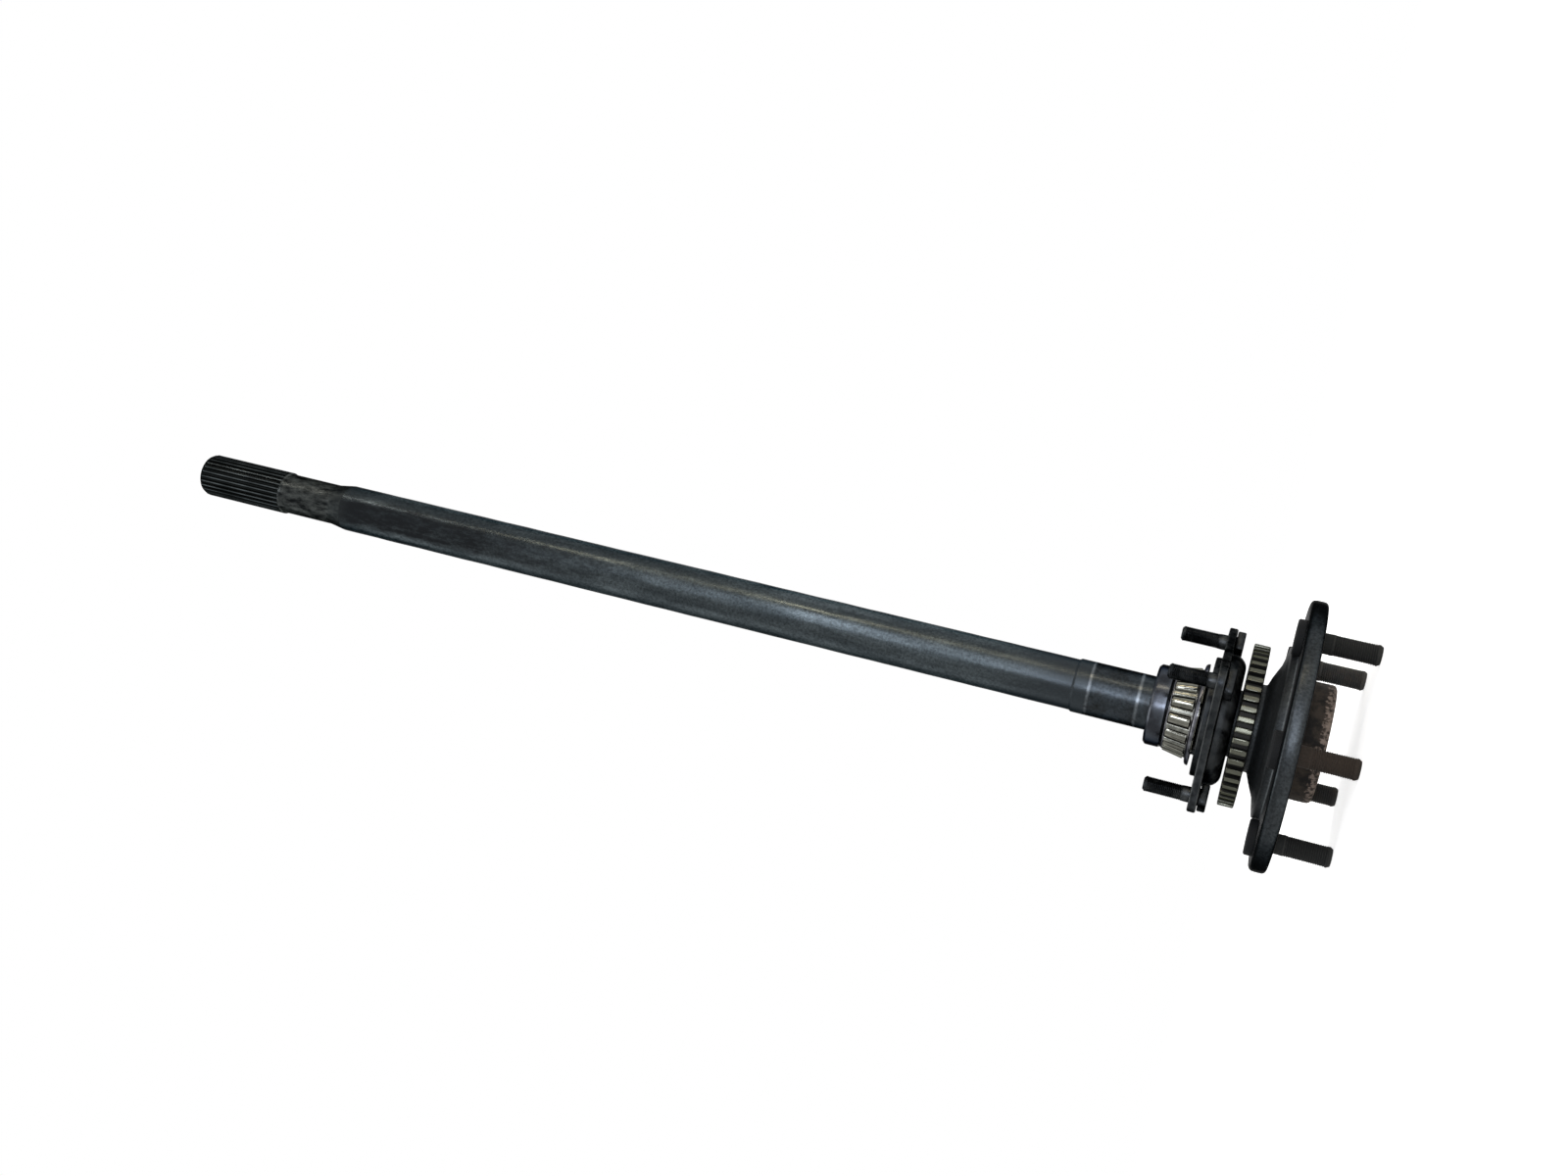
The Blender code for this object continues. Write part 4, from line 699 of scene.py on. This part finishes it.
# ---- T-bolts: rolled thread, rectangular heads caught beside the dome ----
# Four black bolts of 9.5 mm with 24 threads to the inch. Each has a plain neck above the plate and a rounded
# T head that the dome keeps from turning.
BOLT_R, BOLT_PITCH, BOLT_THREAD_DEPTH = 4.75, 1.06, 0.5
BOLT_THREAD = (88.8, 111.6)  # its low and high end
BOLT_SCREW_FOOT, BOLT_SCREW_TOP, BOLT_BARE = 89.5, 110.9, 88.0
BOLT_CREST_DEPTH, BOLT_CREST_WEAR, BOLT_THREAD_START = 0.1, 0.1, 1.3
NECK_RUB_Z, NECK_RUB_REACH, NECK_RUB = 86.8, 2.2, 0.4
BOLT_TIP_CORNERS = [(0.0, 112.4, 0), (3.3, 112.4, 0.3), (4.55, 111.3, 0.4), (4.75, 110.9, 0)]
BOLT_NECK_CORNERS = [(4.75, 89.4, 0), (4.75, 85.3, 0), (4.75, 80.2, 0.2), (5.3, 79.6, 0)]
HEAD_HALF_DEPTH, HEAD_HALF_WIDTH, HEAD_SQUARENESS = 6.5, 8.0, 9.0
HEAD_ROWS = [  # height, inset from the head's outline
    (79.6, 0.9), (79.45, 0.3), (79.0, 0.0), (77.2, 0.0), (75.4, 0.0), (74.9, 0.3), (74.7, 0.9)]

angles = once_round(48)
thread_z = np.arange(BOLT_SCREW_TOP, BOLT_SCREW_FOOT, -BOLT_PITCH / ROWS_PER_PITCH)
screw = np.column_stack((np.full(len(thread_z), BOLT_R), thread_z))
shank = np.vstack((traced(BOLT_TIP_CORNERS, step=3.0)[:-1], screw, traced(BOLT_NECK_CORNERS, step=2.5)))
head_rows = np.array(HEAD_ROWS)
outline = (np.abs(np.cos(angles) / HEAD_HALF_DEPTH) ** HEAD_SQUARENESS
           + np.abs(np.sin(angles) / HEAD_HALF_WIDTH) ** HEAD_SQUARENESS) ** (-1.0 / HEAD_SQUARENESS)
head = outline - head_rows[:, 1:2]
foot = np.array((0.5, 0.0))[:, None] * head[-1]
for number in range(1, EAR_COUNT + 1):
    turn = EAR_TURN + 2.0 * np.pi * (number - 1) / EAR_COUNT
    start = BOLT_THREAD_START * number
    depth = threaded(shank[:, 1], angles + start, BOLT_PITCH, BOLT_THREAD_DEPTH, *BOLT_THREAD)
    radius = np.vstack((shank[:, :1] - depth, head, foot))
    height = np.concatenate((shank[:, 1], head_rows[:, 0], head_rows[-1:, 0], head_rows[-1:, 0]))[:, None]
    local = turned(np.stack(np.broadcast_arrays(radius, height), axis=-1), angles)
    spin = np.array(((np.cos(turn), -np.sin(turn), 0.0), (np.sin(turn), np.cos(turn), 0.0), (0.0, 0.0, 1.0)))
    axis = np.array((np.cos(turn), np.sin(turn), 0.0)) * EAR_CIRCLE * MM
    neck = np.clip(1.0 - np.abs(height - NECK_RUB_Z) / NECK_RUB_REACH, 0.0, 1.0) * NECK_RUB
    crest = (depth < BOLT_CREST_DEPTH) * BOLT_CREST_WEAR
    crest = np.vstack((crest, np.zeros((len(head_rows) + len(foot), len(angles)))))
    crest = crest * (height > BOLT_BARE)
    bolt = skin("t_bolt_steel_%d" % number, local @ spin.T + axis, np.maximum(crest, neck))
    bolt.data.materials.append(plate_mat)
    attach(bolt, "retainer")
    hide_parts("t_bolt_%d" % number)


# ---- Oil seal: steel case, rubber lip, garter spring ----
# A lip seal pressed into the retainer's cup. The case is pressed sheet steel, the lip is moulded nitrile
# rubber, and a coiled spring ring holds the lip to its journal.
CASE_CORNERS = [(29.5, 80.0, 0), (29.5, 84.5, 0.3), (30.7, 84.5, 0.4), (30.7, 74.9, 0.9), (25.5, 74.9, 0.2),
                (25.5, 76.1, 0.2), (29.5, 76.1, 0.6), (29.5, 78.0, 0)]
LIP_CORNERS = [(22.1, 80.6, 0), (22.1, 82.4, 0.4), (20.6, 82.4, 0.3), (20.6, 78.0, 0.4), (21.35, 76.4, 0.3),
               (29.2, 76.4, 0.2), (29.2, 78.0, 0.2), (22.1, 78.0, 0.8), (22.1, 79.6, 0)]
SPRING_R, SPRING_Z, WIRE_R = 23.0, 81.2, 0.6
COIL_RIDGE, COIL_RIDGES = 0.06, 60

angles = once_round(120)
profile = traced(CASE_CORNERS, step=4.0)
case = skin("seal_case_sheet", turned(profile, angles), 0.0, ring=True)
# Pressed case steel: bare sheet, dull grey in soft patches 6 mm wide.
mat, tree, shader, point = steel("pressed_seal_case_steel", "#4e5052", 0.38)
haze = add(tree, "TexNoise", {"Vector": point, "Scale": 160.0, "Detail": 5.0})
colour = add(tree, "Mix", {0: haze, 6: "#303234", 7: "#6c6e70"}, data_type="RGBA")
fill(shader, {"Base Color": colour})
case.data.materials.append(mat)
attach(case, "retainer")
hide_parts("seal_case")

profile = traced(LIP_CORNERS, step=4.0)
lip = skin("seal_lip_rubber", turned(profile, angles), 0.0, ring=True)
# Moulded nitrile rubber: black, with a soft sheen that changes over 3.3 mm.
mat, tree, shader, point = steel("moulded_nitrile_rubber", "#141414", 0.6)
haze = add(tree, "TexNoise", {"Vector": point, "Scale": 300.0, "Detail": 4.0})
sheen = add(tree, "MapRange", {0: haze, 3: 0.45, 4: 0.75})
fill(shader, {"Metallic": 0.0, "IOR": 1.52, "Roughness": sheen})
lip.data.materials.append(mat)
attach(lip, "retainer")
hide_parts("seal_lip")

coil = np.linspace(0.5 * np.pi, -1.5 * np.pi, 12, endpoint=False)
wire = WIRE_R + COIL_RIDGE * np.cos(angles * COIL_RIDGES)
points = turned(np.stack((SPRING_R + wire * np.cos(coil)[:, None], SPRING_Z + wire * np.sin(coil)[:, None]),
                         axis=-1), angles)
spring = skin("garter_spring_coil", points, 0.0, ring=True)
# Drawn spring wire: bright, with a haze of oil 2 mm wide over its coils.
mat, tree, shader, point = steel("drawn_spring_wire", "#8d8d8a", 0.28)
haze = add(tree, "TexNoise", {"Vector": point, "Scale": 500.0, "Detail": 3.0})
colour = add(tree, "Mix", {0: haze, 6: "#6a6a68", 7: "#a2a29e"}, data_type="RGBA")
fill(shader, {"Base Color": colour})
spring.data.materials.append(mat)
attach(spring, "retainer")
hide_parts("garter_spring")


# ---- Bearing cone: the inner ring of the tapered roller bearing ----
# Through-hardened bearing steel, ground and honed. The raceway tapers between a tall rib and a low toe.
CONE_CORNERS = [(17.76, 100.0, 0), (17.76, 109.0, 0.4), (19.31, 109.0, 0.5), (19.31, 106.75, 0.2),
                (18.04, 106.7, 0.1), (19.87, 93.07, 0.1), (22.6, 93.02, 0.2), (22.6, 90.5, 0.4),
                (21.8, 89.7, 0.4), (17.76, 89.7, 0.4), (17.76, 95.0, 0)]

angles = once_round(144)
profile = traced(CONE_CORNERS, step=3.0)
cone = skin("bearing_inner_ring", turned(profile, angles), 0.0, ring=True)
# Honed bearing steel: the brightest metal here, mirror-like under a film of oil in patches 4 mm wide. Real
# honing lines are too fine to show, so the rings are drawn 0.7 mm wide.
mat, tree, shader, point = steel("honed_bearing_steel", "#7d7d76", 0.16, "#9a9a9a")
rings = tool_rings(tree, point, 1500.0, 2.0)
oil = add(tree, "TexNoise", {"Vector": point, "Scale": 240.0, "Detail": 5.0})
colour = add(tree, "Mix", {0: oil, 6: "#43433f", 7: "#78786f"}, data_type="RGBA")
dull = add(tree, "MapRange", {0: oil, 1: 0.35, 2: 0.65, 3: 0.10, 4: 0.19})
bump = add(tree, "Bump", {"Strength": 0.12, "Distance": 0.02 * MM, "Height": rings})
fill(shader, {"Base Color": colour, "Roughness": dull, "Normal": bump})
cone.data.materials.append(mat)
bearing_mat = mat
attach(cone, "axle")
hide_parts("bearing_cone")


# ---- Rollers: fifteen ground taper rollers ----
# Each roller's surface, its axis and the raceway all meet at one point on the shaft's axis, so that it rolls
# without sliding. Polished bright, with rounded ends.
ROLLER_COUNT, ROLLER_TURN = 15, np.radians(18.6)
RACE_ANGLE, ROLLER_HALF_ANGLE = np.radians(7.65), np.radians(1.65)
ROLLER_LENGTH, ROLLER_LARGE_Z, RACE_R, ROLLER_SLACK = 12.9, 94.0, 19.74, 0.2

tilt = RACE_ANGLE + ROLLER_HALF_ANGLE
apex = ROLLER_LARGE_Z + RACE_R / np.tan(RACE_ANGLE)
reach = (apex - ROLLER_LARGE_Z) / np.cos(tilt)
large = reach * np.tan(ROLLER_HALF_ANGLE) - ROLLER_SLACK
small = (reach - ROLLER_LENGTH) * np.tan(ROLLER_HALF_ANGLE) - ROLLER_SLACK
profile = traced([(0.0, ROLLER_LENGTH, 0), (1.6, ROLLER_LENGTH, 0), (small, ROLLER_LENGTH, 0.55),
                  (large, 0.0, 0.55), (1.9, 0.0, 0.15), (1.6, 0.18, 0.1), (0.0, 0.18, 0)], step=1.8)
angles = once_round(36)
local = turned(profile, angles)
for number in range(ROLLER_COUNT):
    place = ROLLER_TURN + 2.0 * np.pi * number / ROLLER_COUNT
    outward = np.array((np.cos(place), np.sin(place), 0.0))
    side = np.array((-np.sin(place), np.cos(place), 0.0))
    axis = -np.sin(tilt) * outward + np.array((0.0, 0.0, np.cos(tilt)))
    lean = np.cos(tilt) * outward + np.array((0.0, 0.0, np.sin(tilt)))
    start = (np.array((0.0, 0.0, apex)) - reach * axis) * MM
    points = local[..., :1] * lean + local[..., 1:2] * side + local[..., 2:] * axis + start
    roller = skin("taper_roller_%02d" % (number + 1), points, 0.0)
    roller.data.materials.append(bearing_mat)
    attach(roller, "roller_%02d" % (number + 1))
    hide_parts("roller_%02d" % (number + 1))


# ---- Cage: pressed sheet that spaces the rollers ----
# One piece of sheet steel 1.1 mm thick, drawn to a cone, with a window punched for each roller, a lip turned
# outwards at its large end and a flange turned inwards at its small end.
CAGE_WALL, CAGE_OFFSET = 1.1, 2.5
CAGE_LIP = [(30.7, 90.75), (30.72, 91.3), (30.6, 91.85), (30.2, 92.35), (29.5, 92.7), (28.6, 92.85),
            (27.7, 92.95), (27.05, 93.2), (26.8, 93.6)]
CAGE_TOE = [(24.2, 107.85), (23.8, 108.12), (23.0, 108.18), (21.6, 108.18), (20.1, 108.18)]
WINDOW_LOW, WINDOW_HIGH, WINDOW_ROUND, WINDOW_SLACK = 94.1, 107.4, 0.7, 0.3
BAR_COLUMNS, WINDOW_COLUMNS = 3, 8

corner = np.array((0.0, 0.12, 0.4, 1.0)) * WINDOW_ROUND
shell_z = np.concatenate((WINDOW_LOW + corner, np.linspace(WINDOW_LOW, WINDOW_HIGH, 8)[1:-1],
                          WINDOW_HIGH - corner[::-1]))
shell_r = (apex - shell_z) * np.tan(tilt) + CAGE_OFFSET / np.cos(tilt)
profile = np.vstack((CAGE_LIP, np.column_stack((shell_r, shell_z)), CAGE_TOE))
share = np.clip((profile[:, 1] - WINDOW_LOW) / (WINDOW_HIGH - WINDOW_LOW), 0.0, 1.0)
end = np.clip(np.minimum(profile[:, 1] - WINDOW_LOW, WINDOW_HIGH - profile[:, 1]), 0.0, WINDOW_ROUND)
inner = CAGE_OFFSET - CAGE_WALL / 2.0
half_window = np.sqrt(((1.0 - share) * large + share * small) ** 2 - inner ** 2) + WINDOW_SLACK
half_window = half_window - WINDOW_ROUND + np.sqrt(WINDOW_ROUND ** 2 - (WINDOW_ROUND - end) ** 2)
half_angle = half_window / np.interp(profile[:, 1], shell_z, shell_r)
sector = 2.0 * np.pi / ROLLER_COUNT
bar = np.linspace(0.0, 1.0, BAR_COLUMNS + 1)[:-1]
gap = np.linspace(0.0, 1.0, WINDOW_COLUMNS + 1)[:-1]
turns = np.hstack((half_angle[:, None] + (sector - 2.0 * half_angle[:, None]) * bar,
                   sector - half_angle[:, None] + 2.0 * half_angle[:, None] * gap))
angles = (ROLLER_TURN + sector * np.arange(ROLLER_COUNT)[None, :, None] + turns[:, None, :])
angles = angles.reshape(len(profile), -1)
points = turned(np.broadcast_to(profile[:, None, :], (*angles.shape, 2)), angles)
rows, columns = angles.shape
here = np.arange(rows * columns).reshape(rows, columns)
quads = np.stack((here[:-1], np.roll(here[:-1], -1, axis=1), np.roll(here[1:], -1, axis=1), here[1:]), axis=-1)
in_window = (np.arange(columns) % (BAR_COLUMNS + WINDOW_COLUMNS)) >= BAR_COLUMNS
between = (profile[:-1, 1] > WINDOW_LOW - 0.01) & (profile[1:, 1] < WINDOW_HIGH + 0.01)
kept = quads[~(between[:, None] & in_window[None, :])]
mesh = bpy.data.meshes.new("pressed_roller_cage")
mesh.from_pydata(points.reshape(-1, 3).tolist(), [], kept.tolist())
mesh.shade_smooth()
cage = bpy.data.objects.new("pressed_roller_cage", mesh)
scene.collection.objects.link(cage)
wall = cage.modifiers.new("sheet_wall", "SOLIDIFY")
wall.thickness = CAGE_WALL * MM
wall.offset = 0.0
# Pressed cage steel: oily grey in patches 4.5 mm wide. The bars between the windows are painted lighter, as
# painted light between the rollers, and the small end beyond them keeps the darker ring grey as painted shade
# next to the collar.
mat, tree, shader, point = steel("pressed_cage_steel", "#5a5b5c", 0.26, "#707070")
high = height_of(tree, point)
haze = add(tree, "TexNoise", {"Vector": point, "Scale": 220.0, "Detail": 5.0})
tone_share = add(tree, "MapRange", {0: haze, 1: 0.35, 2: 0.65})
ring = add(tree, "Mix", {0: tone_share, 6: "#3f4044", 7: "#5c5d61"}, data_type="RGBA")
bars = add(tree, "Mix", {0: tone_share, 6: "#575853", 7: "#7a7b74"}, data_type="RGBA")
# Painted light on the bars between the windows, and painted shade on the small end beside the collar.
painted_bar_light = add(tree, "MapRange", {0: high, 1: 0.0932, 2: 0.0945})
painted_gap_shade = add(tree, "MapRange", {0: high, 1: 0.1078, 2: 0.1068})
painted_bar_light = add(tree, "Math", {0: painted_bar_light, 1: painted_gap_shade}, operation="MULTIPLY")
colour = add(tree, "Mix", {0: painted_bar_light, 6: ring, 7: bars}, data_type="RGBA")
bump = add(tree, "Bump", {"Strength": 0.25, "Distance": 0.04 * MM, "Height": haze})
fill(shader, {"Base Color": colour, "Normal": bump})
mesh.materials.append(mat)
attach(cage, "cage")
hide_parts("roller_cage")


# ---- Retaining collar: shrunk on behind the bearing ----
# A plain turned ring, heated and slid on so that it grips the shaft and holds the bearing. Dark from heat,
# with its turned rings still showing through the oil.
COLLAR_CORNERS = [(17.5, 114.0, 0), (17.5, 119.2, 0.2), (17.8, 119.5, 0.1), (23.3, 119.5, 0.8),
                  (24.9, 117.9, 0.8), (24.9, 110.1, 0.5), (24.1, 109.3, 0.5), (17.8, 109.3, 0.1),
                  (17.5, 109.6, 0.1), (17.5, 112.0, 0)]
RUB_R, RUB_REACH, RUB = 24.2, 0.8, 0.35

angles = once_round(144)
profile = traced(COLLAR_CORNERS, step=3.0)
wear = np.clip(1.0 - np.abs(profile[:, :1] - RUB_R) / RUB_REACH, 0.0, 1.0) * RUB
collar = skin("shrunk_on_collar", turned(profile, angles), wear, ring=True)
# Heat-darkened collar steel: blue-black, with turned rings 1.5 mm wide and smudges of oil 11 mm wide.
mat, tree, shader, point = steel("heat_darkened_collar_steel", "#2a2c2f", 0.23, "#7c7c7c")
rings = tool_rings(tree, point, 650.0)
smudge = add(tree, "TexNoise", {"Vector": point, "Scale": 90.0, "Detail": 5.0, "Roughness": 0.6})
tone_share = add(tree, "MapRange", {0: smudge, 1: 0.36, 2: 0.64}, interpolation_type="SMOOTHSTEP")
colour = add(tree, "Mix", {0: tone_share, 6: "#25272b", 7: "#393d43"}, data_type="RGBA")
worn = add(tree, "Attribute", out="Fac", attribute_name="wear")
colour = add(tree, "Mix", {0: worn, 6: colour, 7: "#6d6f72"}, data_type="RGBA")
bump = add(tree, "Bump", {"Strength": 0.25, "Distance": 0.04 * MM, "Height": rings})
fill(shader, {"Base Color": colour, "Normal": bump})
collar.data.materials.append(mat)
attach(collar, "axle")
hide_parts("retaining_collar")
